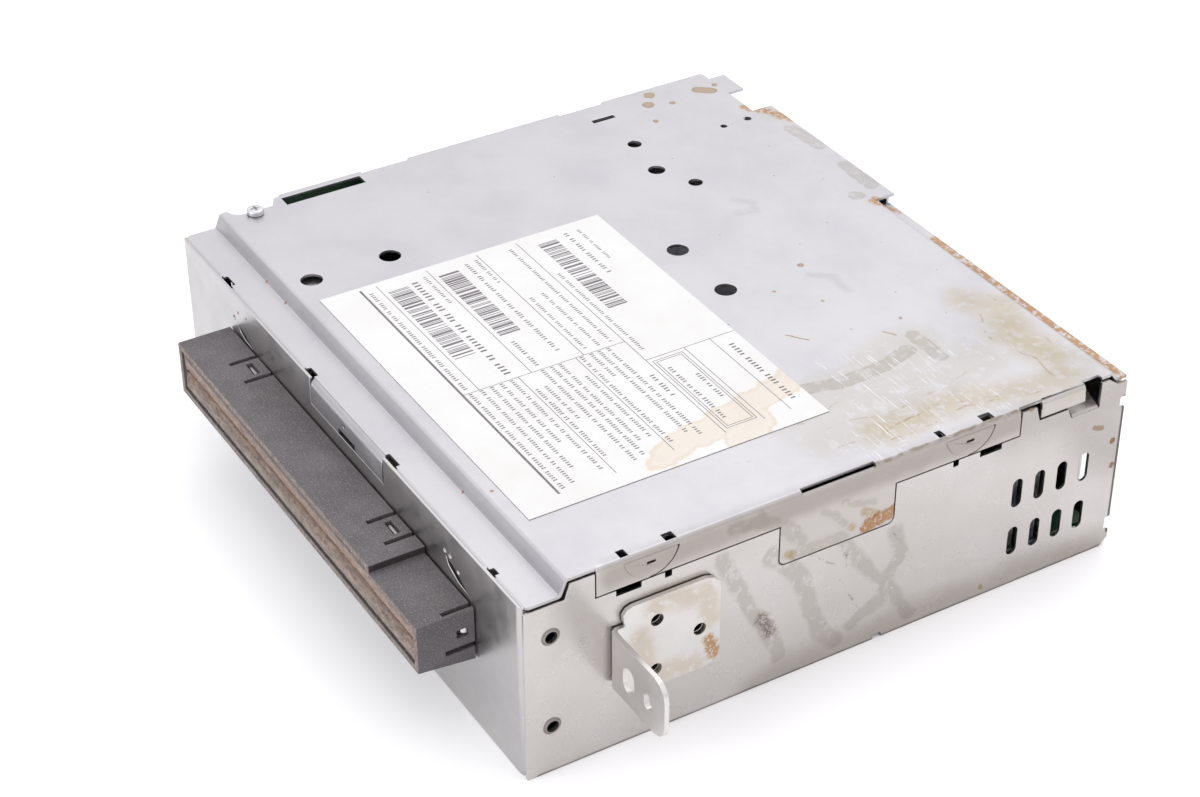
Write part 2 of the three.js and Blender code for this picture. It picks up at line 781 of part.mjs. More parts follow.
// Bezel round the disc slot
const slotHeight = feedHeight + sheet;
const bezelHalf = 63.95;
const bezelLeft = slotCentre - bezelHalf;
const bezelRight = slotCentre + bezelHalf;
const bezelReach = 14.5;
const bezelRise = 7.8;
const bezelStepDrop = 2;
const bezelStepWidth = 22.6;
const bezelDropFront = 6.8;
const bezelDropBack = 8.5;
const bezelTop = slotHeight + bezelRise;
const bezelLowTop = bezelTop - bezelStepDrop;
const bezelStep = bezelRight - bezelStepWidth;
const bezelBottomFront = slotHeight - bezelDropFront;
const bezelBottomBack = slotHeight - bezelDropBack;
const bezelWall = 1.6;
const bezelFront = front - bezelReach;
const bezelBack = front - fit;
const bezelEdge = 0.5;

function bezelBlock(inset, y0, y1) {
  const drop = (bezelBottomFront - bezelBottomBack) / bezelReach;
  const bottom = (y) => bezelBottomBack + (front - y) * drop + inset;
  const side = (top) => [[y0, bottom(y0)], [y1, bottom(y1)], [y1, top - inset], [y0, top - inset]];
  return unite(
    prism('X', side(bezelTop), bezelLeft + inset, bezelStep - inset),
    prism('X', side(bezelLowTop), bezelStep - inset - overrun, bezelRight - inset));
}

// Snap tongues between slits in the bezel's top and ends, each with a window for a hook
const snapSlit = 1.3;
const snapLength = 7.3;
const snapShares = [-0.2247, 0.1966];
const snapPlaces = snapShares.map((share) => share * caseWidth);
const snapWidth = 9;
const snapWindow = [5, 1.8];
const snapWindowBack = 2.4;
const endSlitDrop = 4.2;
const endSlitHeight = slotHeight - endSlitDrop;
const endWindow = [2.9, 2.2];
const endWindowHeight = slotHeight;

function bezelCuts() {
  const slitStart = bezelBack - snapLength;
  const top = (x) => box(x - snapSlit / 2, x + snapSlit / 2, slitStart, bezelBack + overrun,
    bezelTop - bezelWall - overrun, bezelTop + overrun);
  const window = (x) => box(x - snapWindow[0] / 2, x + snapWindow[0] / 2,
    front - snapWindowBack - snapWindow[1], front - snapWindowBack,
    bezelTop - bezelWall - overrun, bezelTop + overrun);
  const cornerSlit = (x, z) => box(x - snapSlit / 2, x + snapSlit / 2, slitStart, bezelBack + overrun,
    z - bezelWall - snapSlit, z + overrun);
  const ends = [[bezelRight - bezelWall, bezelRight + overrun], [bezelLeft - overrun, bezelLeft + bezelWall]];
  const endCuts = ends.flatMap(([x0, x1]) => [
    box(x0 - sheet, x1, slitStart, bezelBack + overrun,
      endSlitHeight - snapSlit / 2, endSlitHeight + snapSlit / 2),
    box(x0 - sheet, x1, front - endWindow[0] - snapWindow[1], front - snapWindow[1],
      endWindowHeight - endWindow[1] / 2, endWindowHeight + endWindow[1] / 2),
  ]);
  return [
    ...snapPlaces.flatMap((x) => [top(x - snapWidth / 2), top(x + snapWidth / 2), window(x)]),
    cornerSlit(bezelRight - bezelWall, bezelLowTop),
    ...endCuts,
  ];
}

function slotBezel() {
  return cut(bezelBlock(0, bezelFront, bezelBack),
    bezelBlock(bezelWall, bezelFront - overrun, bezelBack + overrun),
    bezelCuts());
}

add('slot_bezel', slotBezel(), blackPlastic);

// Felt lips inside the bezel's mouth, parted where the disc bends them away
const feltThickness = 1.6;
const feltRecess = 0.3;
const feltSlit = 4.6;

function feltLip(upper) {
  const feltFront = bezelFront + feltRecess;
  const mouth = bezelBlock(bezelWall + fit / 2, feltFront, feltFront + feltThickness);
  const wide = (z0, z1) => box(-halfWidth, halfWidth, bezelFront - overrun, front, z0, z1);
  return mouth.intersect(upper
    ? wide(slotHeight + feltSlit / 2, lidTop)
    : wide(0, slotHeight - feltSlit / 2));
}

add('dust_lip_upper', feltLip(true), brownFelt);
add('dust_lip_lower', feltLip(false), brownFelt);

// Front panel: a shallow pan with round upright edges, hooks for the bezel and pressed openings
const panBend = 1.6;
const slotHalf = 60.4;
const slotHalfHeight = 4.6;
const slotLow = slotHeight - slotHalfHeight;
const slotHigh = slotHeight + slotHalfHeight;
const panTopDrop = 0.2;
const panTop = stripTop - panTopDrop;
const hookWidth = 4;
const hookReach = 3.6;
const scoopShares = [
  [[0.306, 0.769], [0.327, 0.755], [0.363, 0.687], [0.336, 0.697], [0.313, 0.732]],
  [[-0.311, 0.763], [-0.286, 0.738], [-0.266, 0.705], [-0.292, 0.712], [-0.306, 0.733]],
];
const dimpleRadius = 0.7;
const dimpleDepth = 0.3;
const dimpleShares = [[0.3045, 0.796], [0.318, 0.794], [0.338, 0.753], [-0.323, 0.78]];

function bezelHook(x) {
  const z1 = bezelTop - bezelWall - fit;
  const reach = front - hookReach;
  return unite(
    box(x - hookWidth / 2, x + hookWidth / 2, reach, front + sheet / 2, z1 - sheet, z1),
    box(x - hookWidth / 2, x + hookWidth / 2, reach, reach + sheet,
      z1 - sheet / 2, bezelTop - bezelWall / 2));
}

function frontPanel() {
  const x = sideInner - fit - sheet / 2;
  const left = sheet / 2 - halfWidth;
  const line = [[left, back(panInset)], [left, back(sheet / 2)], [x, back(sheet / 2)], [x, back(panInset)]];
  const pan = prism('Z', folded(line, sheet, panBend), 0, panTop);
  const y0 = front - overrun;
  const y1 = back(overrun);
  const press = (outline) => prism('Y', outline, y0, y1);
  const behindStrip = box(-halfWidth - overrun, halfWidth, back(sheet + sheet / 4), back(panInset + overrun),
    sideStripTop, lidTop);
  const collarWays = collarHeights.map((z) =>
    rod('X', collarRadius, x - panBend, halfWidth, back(collarBack), z));
  return cut(unite(pan, snapPlaces.map(bezelHook)),
    behindStrip,
    collarWays,
    box(flangeLeft - fit, flangeRight + fit, y0, y1, flangeBottom - fit, lidTop),
    box(slotCentre - slotHalf, slotCentre + slotHalf, y0, y1, slotLow, slotHigh),
    scoopShares.map((scoop) => press(scoop.map(([u, v]) => [u * caseWidth, v * lidTop]).reverse())),
    dimpleShares.map(([u, v]) =>
      rod('Y', dimpleRadius, y0, back(dimpleDepth), u * caseWidth, v * lidTop, smallSides)));
}

add('front_panel', frontPanel(), zincSheet);

// Rear panel: a pan open for the connectors, with a vertical opening near the right corner
const rearPanelDrop = 6.5;
const rearPanelTop = lidTop - rearPanelDrop;
const rearStripPanelTop = rearStripTop - sheet - fit;
const rearWindowIn = 4.8;
const rearWindowWidth = 6.6;
const rearWindowLow = 11.5;
const rearWindowHeight = 13.5;
const rearInset = 8.2;
const powerPlug = { share: -0.0787, width: 44, low: 8, height: 15 };
const opticalPlug = { share: 0.1685, width: 17, low: 8, height: 11 };
const antennaShares = [-0.3708, -0.2809];
const antennaPlaces = antennaShares.map((share) => share * caseWidth);
const antennaHeight = 17;
const antennaRadius = 3.6;

function rearPanel() {
  const x = sideInner - fit - sheet / 2;
  const y = back(rearPlane - sheet / 2);
  const line = [[x, y - rearInset], [x, y], [-x, y], [-x, y - rearInset]];
  const pan = prism('Z', folded(line, sheet, panBend), 0, rearStripPanelTop);
  const y0 = y - overrun;
  const y1 = y + overrun;
  const plugHole = ({ share, width, low, height }) => box(share * caseWidth - width / 2 - fit,
    share * caseWidth + width / 2 + fit, y0, y1, low - fit, low + height + fit);
  const windowRight = sideInner - rearWindowIn;
  const cornerCut = prism('X', [
    [back(rearPlane - rearCornerCut), -overrun],
    [back(rearPlane + overrun), -overrun],
    [back(rearPlane + overrun), rearCornerCut],
  ], x - panBend, halfWidth);
  const flapCut = box(sideInner - panInset, halfWidth, y - panInset - overrun, y - panBend - sheet,
    rearSlotTop - flapRise - fit, lidTop);
  return cut(pan,
    box(-halfWidth, rearStripLeft - fit, y - panInset - overrun, y1, rearPanelTop, lidTop),
    box(windowRight - rearWindowWidth, windowRight, y0, y1, rearWindowLow, rearWindowLow + rearWindowHeight),
    plugHole(powerPlug),
    plugHole(opticalPlug),
    antennaPlaces.map((place) => rod('Y', antennaRadius + fit, y0, y1, place, antennaHeight)),
    [flapCut, cornerCut].flatMap((tool) => [tool, mirrored(tool)]));
}

add('rear_panel', rearPanel(), zincSheet);

// Bottom cover: a flat sheet with upturned edges and posts for the main board
const coverLip = 8;
const coverInset = 14;
const boardBottom = 5;
const boardThickness = 1.6;
const boardTop = boardBottom + boardThickness;
const postRadius = 2.6;
const postShares = [[-0.455, -0.4], [0.455, -0.4], [-0.455, 0.38], [0.34, 0.38], [0.05, -0.4], [-0.2, 0.02]];
const coverHalf = sideInner - fit;
const coverHoleRadius = 3;
const coverHoleShares = [[-0.3, -0.3], [0.3, -0.3], [-0.3, 0.3], [0.3, 0.25]];
const footWidth = 6;

function bottomCover() {
  const inner = coverHalf - fit - sheet;
  const plate = box(-coverHalf, coverHalf, back(panelLap), back(rearPlane - panelLap), 0, sheet);
  const lips = [-1, 1].map((side) => {
    const edge = side * (inner - sheet / 2);
    return box(edge - sheet / 2, edge + sheet / 2,
      back(coverInset), back(rearPlane - coverInset), 0, coverLip);
  });
  const posts = postShares.map(([x, y]) =>
    rod('Z', postRadius, sheet / 2, boardBottom - fit, x * caseWidth, y * caseDepth, smallSides));
  const pilots = postShares.map(([x, y]) =>
    rod('Z', screwRadius + fit / 3, sheet, boardBottom, x * caseWidth, y * caseDepth, smallSides));
  const holes = coverHoleShares.map(([x, y]) =>
    rod('Z', coverHoleRadius, -overrun, sheet + overrun, x * caseWidth, y * caseDepth));
  const cornerNotch = (side) => box(
    side > 0 ? inner - panBend : -coverHalf - overrun, side > 0 ? coverHalf + overrun : panBend - inner,
    back(rearPlane - panInset - sheet - fit), back(caseDepth), -overrun, sheet + overrun);
  const frontNotch = (side) => box(
    side > 0 ? inner - panBend : -coverHalf - overrun, side > 0 ? coverHalf + overrun : panBend - inner,
    front, back(panInset + fit), -overrun, sheet + overrun);
  return cut(unite(plate, lips, posts), pilots, holes, [-1, 1].map(cornerNotch), [-1, 1].map(frontNotch));
}

add('bottom_cover', bottomCover(), zincSheet);

// Main board on the cover's posts
const boardHalf = coverHalf - 2 * sheet - 4 * fit;
const boardStart = 3;
const boardRearMargin = 4;
const boardEnd = caseDepth - boardRearMargin;

add('main_board', cut(
  box(-boardHalf, boardHalf, back(boardStart), back(boardEnd), boardBottom, boardTop),
  postShares.map(([x, y]) =>
    rod('Z', screwRadius + fit, 0, boardTop + overrun,
      x * caseWidth, y * caseDepth, smallSides))), greenBoard);

// Control board under the lid's left window, on hexagonal pillars
const controlDrop = 5.7;
const controlWidth = 20.2;
const controlTop = lidTop - controlDrop;
const controlBottom = controlTop - boardThickness;
const controlRight = controlWidth - sideInner;
const controlStart = 46;
const controlEnd = 112;
const controlWindowStart = 26;
const pillarRadius = 2.4;
const pillarIn = 3.6;
const hexSides = 6;

function controlBoard() {
  const left = -sideInner + fit + sheet;
  return unite(
    box(left, controlRight, back(controlStart), back(controlEnd), controlBottom, controlTop),
    box(left, left + windowWidth * 2, back(controlWindowStart), back(controlStart + overrun),
      controlBottom, controlTop));
}

function pillar(distance) {
  const middle = (controlRight - sideInner) / 2;
  return rod('Z', pillarRadius, boardTop + fit, controlBottom - fit, middle, back(distance), hexSides);
}

add('control_board', controlBoard(), greenBoard);
add('board_pillar_front', pillar(controlStart + pillarIn), brass);
add('board_pillar_rear', pillar(controlEnd - pillarIn), brass);

// Shielded tuner box on the main board, under the deck's front left
const tunerOut = 51.7;
const tunerLeft = slotCentre - tunerOut;
const tunerWidth = 44;
const tunerStart = 16;
const tunerLength = 34;
const tunerRoom = 1.5;
const chassisDrop = 9.4;
const chassisSheet = 1;
const chassisTop = feedHeight - chassisDrop;
const chassisUnder = chassisTop - chassisSheet;
const tunerHeight = chassisUnder - boardTop - fit - tunerRoom;
const tunerSlots = 4;

function tunerModule() {
  const can = box(tunerLeft, tunerLeft + tunerWidth, back(tunerStart), back(tunerStart + tunerLength),
    boardTop + fit, boardTop + fit + tunerHeight);
  const pitch = tunerWidth / tunerSlots;
  const slots = Array.from({ length: tunerSlots }, (_, i) => {
    const x = tunerLeft + (i + 1 / 2) * pitch;
    return box(x - sheet, x + sheet, back(tunerStart + pitch / 2), back(tunerStart + tunerLength - pitch / 2),
      boardTop + tunerHeight - sheet, boardTop + tunerHeight + overrun);
  });
  return cut(can, slots);
}

add('tuner_module', tunerModule(), brightSteel);

// Electrolytic capacitors in the right-hand channel
const channelMiddle = (deckRight + sideInner) / 2;
const capRadius = 5;
const capHeights = [25, 25, 20, 20, 16];
const capStart = 40;
const capPitch = 12.5;
const capGroove = 0.4;

function capacitorBank() {
  const base = boardTop + fit;
  const last = capStart + (capHeights.length - 1) * capPitch;
  const tray = box(channelMiddle - capRadius, channelMiddle + capRadius,
    back(capStart - capRadius), back(last + capRadius), base, base + sheet);
  return unite(tray, capHeights.map((height, i) => {
    const y = back(capStart + i * capPitch);
    return unite(
      rod('Z', capRadius, base + 3 * sheet, base + height, channelMiddle, y),
      rod('Z', capRadius - capGroove, base + sheet, base + 4 * sheet, channelMiddle, y, smallSides),
      rod('Z', capRadius, base, base + 2 * sheet, channelMiddle, y, smallSides));
  }));
}

add('capacitor_bank', capacitorBank(), darkEpoxy);

// Finned heat sink beside the vents, with the power amplifier clamped to it
const sinkRearMargin = 18;
const sinkLength = 18;
const sinkWidth = 10.4;
const sinkSideGap = 2.6;
const sinkEnd = caseDepth - sinkRearMargin;
const sinkStart = sinkEnd - sinkLength;
const sinkFinTip = sideInner - sinkSideGap;
const sinkInner = sinkFinTip - sinkWidth;
const sinkBase = 3;
const sinkHeight = 34;
const finCount = 6;
const finThickness = 1.2;
const ampThickness = 3;
const ampHeight = 16;
const ampInset = 1.5;
const ampPins = 7;
const ampPinWidth = 0.6;

function heatSink() {
  const base = boardTop + fit;
  const span = sinkEnd - sinkStart - finThickness;
  const fins = Array.from({ length: finCount }, (_, i) => {
    const y = back(sinkStart + i * span / (finCount - 1));
    return box(sinkInner + sinkBase / 2, sinkFinTip, y, y + finThickness, base, base + sinkHeight);
  });
  const plate = box(sinkInner, sinkInner + sinkBase, back(sinkStart), back(sinkEnd), base, base + sinkHeight);
  return unite(plate, fins);
}

function powerAmplifier() {
  const x1 = sinkInner - fit;
  const base = boardTop + fit;
  const low = base + ampInset * 2;
  const body = box(x1 - ampThickness, x1,
    back(sinkStart + ampInset), back(sinkEnd - ampInset), low, low + ampHeight);
  const pitch = (sinkEnd - sinkStart - 4 * ampInset) / (ampPins - 1);
  const pins = Array.from({ length: ampPins }, (_, i) => {
    const y = back(sinkStart + 2 * ampInset + i * pitch);
    const x = x1 - ampThickness / 2;
    return box(x - ampPinWidth / 2, x + ampPinWidth / 2, y - ampPinWidth / 2, y + ampPinWidth / 2,
      base, low + ampPinWidth);
  });
  return unite(body, pins);
}

add('heat_sink', heatSink(), aluminium);
add('power_amplifier', powerAmplifier(), darkEpoxy);

// Flat processor chip on the main board
const chipHeight = 1.5;
const chipHalf = 8;
const chipShares = [-0.101, 0.171];
const chipX = chipShares[0] * caseWidth;
const chipY = chipShares[1] * caseDepth;

add('processor_chip', box(chipX - chipHalf, chipX + chipHalf, chipY - chipHalf, chipY + chipHalf,
  boardTop + fit, boardTop + fit + chipHeight), darkEpoxy);

// Rear connectors, on the main board's rear edge
const plugWall = 1.4;
const plugLength = 14.9;
const plugStart = rearPlane - plugLength;
const plugCavity = 9;
const pinRows = 2;
const pinColumns = 8;
const pinWidth = 1;
const pinReach = 4;

function plugShell({ share, width, low, height }) {
  const x = share * caseWidth;
  const shell = box(x - width / 2, x + width / 2, back(plugStart), back(rearPlane), low, low + height);
  const cavity = box(x - width / 2 + plugWall, x + width / 2 - plugWall,
    back(rearPlane - plugCavity), back(rearPlane + overrun), low + plugWall, low + height - plugWall);
  const foot = box(x - width / 2 + plugWall, x + width / 2 - plugWall,
    back(plugStart), back(boardEnd - overrun), boardTop + fit, low + plugWall);
  return unite(shell, foot).subtract(cavity);
}

function plugPins({ share, width, low, height }) {
  const x = share * caseWidth;
  const columnPitch = (width - 4 * plugWall) / pinColumns;
  const rowPitch = (height - 2 * plugWall) / pinRows;
  const y0 = back(rearPlane - plugCavity + fit);
  const spots = Array.from({ length: pinRows * pinColumns }, (_, i) => [
    x - width / 2 + 2 * plugWall + (i % pinColumns + 1 / 2) * columnPitch,
    low + plugWall + (Math.floor(i / pinColumns) + 1 / 2) * rowPitch,
  ]);
  const comb = box(x - width / 2 + 2 * plugWall, x + width / 2 - 2 * plugWall, y0, y0 + pinWidth,
    low + 2 * plugWall, low + height - 2 * plugWall);
  return unite(comb, spots.map(([u, v]) =>
    box(u - pinWidth / 2, u + pinWidth / 2, y0, y0 + pinReach, v - pinWidth / 2, v + pinWidth / 2)));
}

function antennaSockets() {
  const y0 = back(plugStart + 2 * plugWall);
  const y1 = back(rearPlane);
  const core = antennaRadius * 0.2;
  const block = box(antennaPlaces[0] - antennaRadius, antennaPlaces[1] + antennaRadius,
    y0, y0 + panInset / 2, boardTop + fit, antennaHeight + antennaRadius);
  return unite(block, antennaPlaces.map((x) => unite(
    rod('Y', antennaRadius, y0 + overrun, y1, x, antennaHeight).subtract(
      rod('Y', antennaRadius * 0.7, y1 - plugCavity / 2, y1 + overrun, x, antennaHeight)),
    rod('Y', core, y0 + overrun, y1 - sheet, x, antennaHeight, smallSides))));
}

add('main_connector', plugShell(powerPlug), blackPlastic);
add('connector_pins', plugPins(powerPlug), brass);
add('optical_connector', plugShell(opticalPlug), blackPlastic);
add('antenna_sockets', antennaSockets(), brightSteel);

// Deck frame and the screws that hold its ears under the sides' flanges
const frameWindowIn = 12;
const frameWindowEnds = [28, 108];

function deckFrame() {
  const top = deckFrameTop - sheet / 2;
  const line = [[deckLeft, deckFrameBottom], [deckLeft, top], [deckRight, top], [deckRight, deckFrameBottom]];
  const tray = prism('Y', folded(line.reverse(), sheet, bendRadius), back(deckFrameStart), back(deckFrameEnd));
  const earBetween = (x0, x1, start) =>
    box(x0, x1, back(start), back(start + earWidth), top - sheet / 2, deckFrameTop);
  const ears = earStarts.flatMap((start) => [
    earBetween(deckRight - overrun * 2, sideInner - earIn, start),
    earBetween(earIn - sideInner, deckLeft + overrun * 2, start),
  ]);
  const window = box(deckLeft + frameWindowIn, deckRight - frameWindowIn,
    back(frameWindowEnds[0]), back(frameWindowEnds[1]), deckFrameTop - 2 * overrun, deckFrameTop + overrun);
  const holes = deckScrewHoles();
  return cut(unite(tray, ears), window, holes, holes.map(mirrored));
}

// A screw from below, head down
const deckScrewHead = 1.4;

function deckScrew(start) {
  const seat = deckFrameTop - sheet - fit / 2;
  const y = back(start + earWidth / 2);
  return unite(
    rod('Z', screwHeadRadius * 0.8, seat - deckScrewHead, seat, deckScrewX, y, smallSides, screwHeadRadius),
    rod('Z', screwRadius, seat - sheet / 2, sideTop - fit / 2, deckScrewX, y, smallSides));
}

add('deck_frame', deckFrame(), zincSheet);
['front', 'rear'].forEach((place, i) => {
  add(`deck_screw_${place}_right`, deckScrew(earStarts[i]), brightSteel);
  add(`deck_screw_${place}_left`, mirrored(deckScrew(earStarts[i])), brightSteel);
});

// Deck chassis: a tray hung in four rubber dampers, with everything of the player on it
const chassisHalf = 57.2;
const chassisLeft = slotCentre - chassisHalf;
const chassisRight = slotCentre + chassisHalf;
const chassisWall = feedHeight - chassisSheet;
const chassisStart = 5;
const chassisEnd = 148;
const spindleX = slotCentre;
const spindleY = back(discCentre);
const motorHole = 4;

// Feed roller at the slot
const rollerRadius = 3.6;
const rollerWaist = 3.1;
const rollerBack = 9.5;
const rollerY = back(rollerBack);
const rollerZ = feedHeight - rollerRadius - fit;
const shaftRadius = 1.5;

// Gear train outside the chassis's left wall
const gearModule = 0.5;
const gearTeeth = { roller: 12, idler: 24, reduction: 20, pinion: 10 };
const gearThickness = 2;
const gearRight = chassisLeft - chassisSheet / 2 - fit;
const gearLeft = gearRight - gearThickness;
const gearPinRadius = 1;
const meshAngles = { idler: -0.412, reduction: -0.128, pinion: 0.5625 };

function pitchRadius(teeth) {
  return gearModule * teeth / 2;
}

// The centre of a gear in mesh with another, in the direction of an angle in the (y, z) plane
function meshed([y, z], teeth, otherTeeth, angle) {
  const reach = pitchRadius(teeth) + pitchRadius(otherTeeth);
  return [y + reach * Math.cos(angle), z + reach * Math.sin(angle)];
}

const rollerAxis = [rollerY, rollerZ];
const idlerAxis = meshed(rollerAxis, gearTeeth.roller, gearTeeth.idler, meshAngles.idler);
const reductionAxis = meshed(idlerAxis, gearTeeth.idler, gearTeeth.reduction, meshAngles.reduction);
const pinionAxis = meshed(reductionAxis, gearTeeth.reduction, gearTeeth.pinion, meshAngles.pinion);

// The pickup's run
const railOffset = 15;
const railDrop = 5.8;
const railZ = feedHeight - railDrop;
const railRadius = 1.5;
const railStart = 80;
const railEnd = 141.4;
const sledWindow = { left: 20.6, right: 20.4, start: 83.4, end: 139 };
const railBlock = 4.4;
const railBlockLength = 2.4;

// The clamp arm's hinge lugs
const hingeBack = 142;
const armRise = 4.8;
const armBottom = playHeight + armRise;
const hingeRise = 0.8;
const hingeZ = armBottom + hingeRise;
const lugReach = 30;
const lugWidth = 8;
const lugRise = 3.5;
const lugTop = hingeZ + lugRise;
const clampPinRadius = 1.2;
const hingeY = back(hingeBack);

// Slider and lever places
const sliderLength = 86;
const sliderStart = 44;
const sliderThickness = 1;
const sliderLift = 1.2;
const sliderHeight = 5.8;
const sliderLow = chassisTop + sliderLift;
const sliderHigh = sliderLow + sliderHeight;
const sliderTravel = 8;
const sliderPinShares = [0.2, 0.75];
const sliderPinRadius = 1.2;
const sliderOuter = chassisRight - chassisSheet / 2 - fit;
const sliderPinZ = (sliderLow + sliderHigh) / 2;
const leverOut = 37.6;
const leverBack = 124;
const leverX = slotCentre - leverOut;
const leverY = back(leverBack);
const leverPinRadius = 1.4;
const leverPinLength = 4;
const leverPinTop = chassisTop + leverPinLength;

function sliderPinY(share) {
  return back(sliderStart + share * sliderLength);
}

function deckChassis() {
  const line = [
    [chassisRight, chassisWall],
    [chassisRight, chassisTop - chassisSheet / 2],
    [chassisLeft, chassisTop - chassisSheet / 2],
    [chassisLeft, chassisWall],
  ];
  const tray = prism('Y', folded(line, chassisSheet, chassisSheet), back(chassisStart), back(chassisEnd));
  const guideEars = box(chassisLeft - guideEarWidth, chassisRight + guideEarWidth,
    back(chassisStart), back(chassisStart + guideLegLength), chassisUnder, chassisTop);
  const lugX = [spindleX - lugReach, spindleX + lugReach];
  const lugs = lugX.map((x) => prism('X', [
    [hingeY - lugWidth / 2, chassisUnder],
    [hingeY + lugWidth / 2, chassisUnder],
    [hingeY + lugWidth / 3, lugTop],
    [hingeY - lugWidth / 3, lugTop],
  ], x - chassisSheet / 2, x + chassisSheet / 2));
  const railBlocks = [railStart, railEnd - railBlockLength].flatMap((start) =>
    [-railOffset, railOffset].map((x) => box(spindleX + x - railBlock / 2, spindleX + x + railBlock / 2,
      back(start), back(start + railBlockLength), chassisUnder, railZ + railBlock / 2)));
  const gearPins = [idlerAxis, reductionAxis].map(([y, z]) =>
    rod('X', gearPinRadius, gearLeft - fit, chassisLeft, y, z, smallSides));
  const pins = sliderPinShares.map((share) =>
    rod('X', sliderPinRadius, sliderOuter - sliderThickness - 2 * fit, chassisRight, sliderPinY(share),
      sliderPinZ, smallSides));
  const leverPin = rod('Z', leverPinRadius, chassisUnder, leverPinTop, leverX, leverY, smallSides);
  const window = box(spindleX - sledWindow.left, spindleX + sledWindow.right,
    back(sledWindow.start), back(sledWindow.end), chassisUnder - overrun, chassisTop + overrun);
  const x0 = chassisLeft - overrun;
  const x1 = chassisRight + overrun;
  return cut(unite(cut(tray, window), guideEars, lugs, railBlocks, gearPins, pins, leverPin),
    rod('Z', motorHole, chassisUnder - overrun, chassisTop + overrun, spindleX, spindleY),
    rod('X', shaftRadius + fit, x0, x1, rollerY, rollerZ, smallSides * 2),
    rod('X', gearPinRadius + fit, x0, chassisLeft + overrun, ...pinionAxis, smallSides),
    rod('X', clampPinRadius + fit, spindleX - lugReach - overrun, spindleX + lugReach + overrun,
      hingeY, hingeZ, smallSides),
    [-railOffset, railOffset].map((x) =>
      rod('Y', railRadius + fit, back(railStart - overrun), back(railEnd + overrun), spindleX + x, railZ,
        smallSides)));
}

// White guide above the roller, standing on the chassis's ears
const guideEarWidth = 6.6;
const guideLegLength = 6;
const guideLegWidth = 2.4;
const guideLift = 1.8;
const guideThickness = 2.2;
const guideBottom = feedHeight + guideLift;
const guideTop = guideBottom + guideThickness;
const guideRibs = 4;

function discGuide() {
  const left = chassisLeft - guideEarWidth;
  const right = chassisRight + guideEarWidth;
  const y0 = back(chassisStart);
  const y1 = back(chassisStart + guideLegLength);
  const legs = [left, right - guideLegWidth].map((x) =>
    box(x, x + guideLegWidth, y0, y1, chassisTop + fit, guideTop));
  const span = right - left;
  const ribs = Array.from({ length: guideRibs }, (_, i) => {
    const x = left + (i + 1) * span / (guideRibs + 1);
    return box(x - sheet, x + sheet, y0, y1 + guideLegLength, guideTop - sheet, guideTop + 2 * sheet);
  });
  return unite(box(left, right, y0, y1 + guideLegLength, guideBottom, guideTop), legs, ribs);
}

const chassisMesh = deckChassis();
add('deck_chassis', chassisMesh, brightSteel);
add('disc_guide', discGuide(), whitePlastic);

// Rubber dampers between the frame and the chassis
const damperRadius = 3.8;
const damperWaist = 2.6;
const damperPlaces = [48, 122];

const damperSpans = {
  left: [deckLeft + sheet / 2 + fit, chassisLeft - chassisSheet / 2 - fit],
  right: [chassisRight + chassisSheet / 2 + fit, deckRight - sheet / 2 - fit],
};

function damper([x0, x1], place) {
  const z = chassisTop + damperRadius + fit;
  const third = (x1 - x0) / 3;
  return unite(
    rod('X', damperRadius, x0, x0 + third, back(place), z, smallSides),
    rod('X', damperWaist, x0 + third / 2, x1 - third / 2, back(place), z, smallSides),
    rod('X', damperRadius, x1 - third, x1, back(place), z, smallSides));
}

['front', 'rear'].forEach((place, i) => {
  add(`damper_${place}_left`, damper(damperSpans.left, damperPlaces[i]), blackRubber);
  add(`damper_${place}_right`, damper(damperSpans.right, damperPlaces[i]), blackRubber);
});

// Roller: rubber on a steel shaft, thinner in the middle so that it holds the disc by its edges
const rollerEnd = 1.2;

function feedRoller() {
  const x0 = chassisLeft + chassisSheet / 2 + rollerEnd;
  const x1 = chassisRight - chassisSheet / 2 - rollerEnd;
  const middle = (x0 + x1) / 2;
  return cut(unite(
    rod('X', rollerRadius, x0, middle, rollerY, rollerZ, roundSides, rollerWaist),
    rod('X', rollerWaist, middle, x1, rollerY, rollerZ, roundSides, rollerRadius)),
  rod('X', shaftRadius + fit / 4, x0 - overrun, x1 + overrun, rollerY, rollerZ, smallSides));
}

add('feed_roller', feedRoller(), blackRubber);
add('roller_shaft', rod('X', shaftRadius, gearLeft, chassisRight + chassisSheet + fit,
  rollerY, rollerZ, smallSides), brightSteel);

// Spur gears: teeth as trapezia a little narrower than their gaps
const toothShares = [0.3, 0.15];
const addendum = 0.85;
const dedendum = 1.15;

function gearOutline(teeth, [y, z], phase) {
  const pitch = 2 * Math.PI / teeth;
  const root = pitchRadius(teeth) - dedendum * gearModule;
  const tip = pitchRadius(teeth) + addendum * gearModule;
  return Array.from({ length: teeth }, (_, i) => i * pitch + phase).flatMap((angle) => [
    [root, angle - toothShares[0] * pitch],
    [tip, angle - toothShares[1] * pitch],
    [tip, angle + toothShares[1] * pitch],
    [root, angle + toothShares[0] * pitch],
  ].map(([radius, turn]) => [y + radius * Math.cos(turn), z + radius * Math.sin(turn)]));
}

// The phase that puts a gap opposite a tooth of the gear before it
function meshPhase(teeth, before, angle) {
  const beforePitch = 2 * Math.PI / before.teeth;
  const lead = (angle - before.phase) / beforePitch;
  const offset = lead - Math.round(lead);
  const halfPitch = Math.PI / teeth;
  return angle + Math.PI + halfPitch * (1 + 2 * offset);
}

function gear(teeth, axis, phase, boreRadius) {
  return prism('X', gearOutline(teeth, axis, phase), gearLeft, gearRight)
    .subtract(rod('X', boreRadius, gearLeft - overrun, gearRight + overrun, ...axis, smallSides));
}

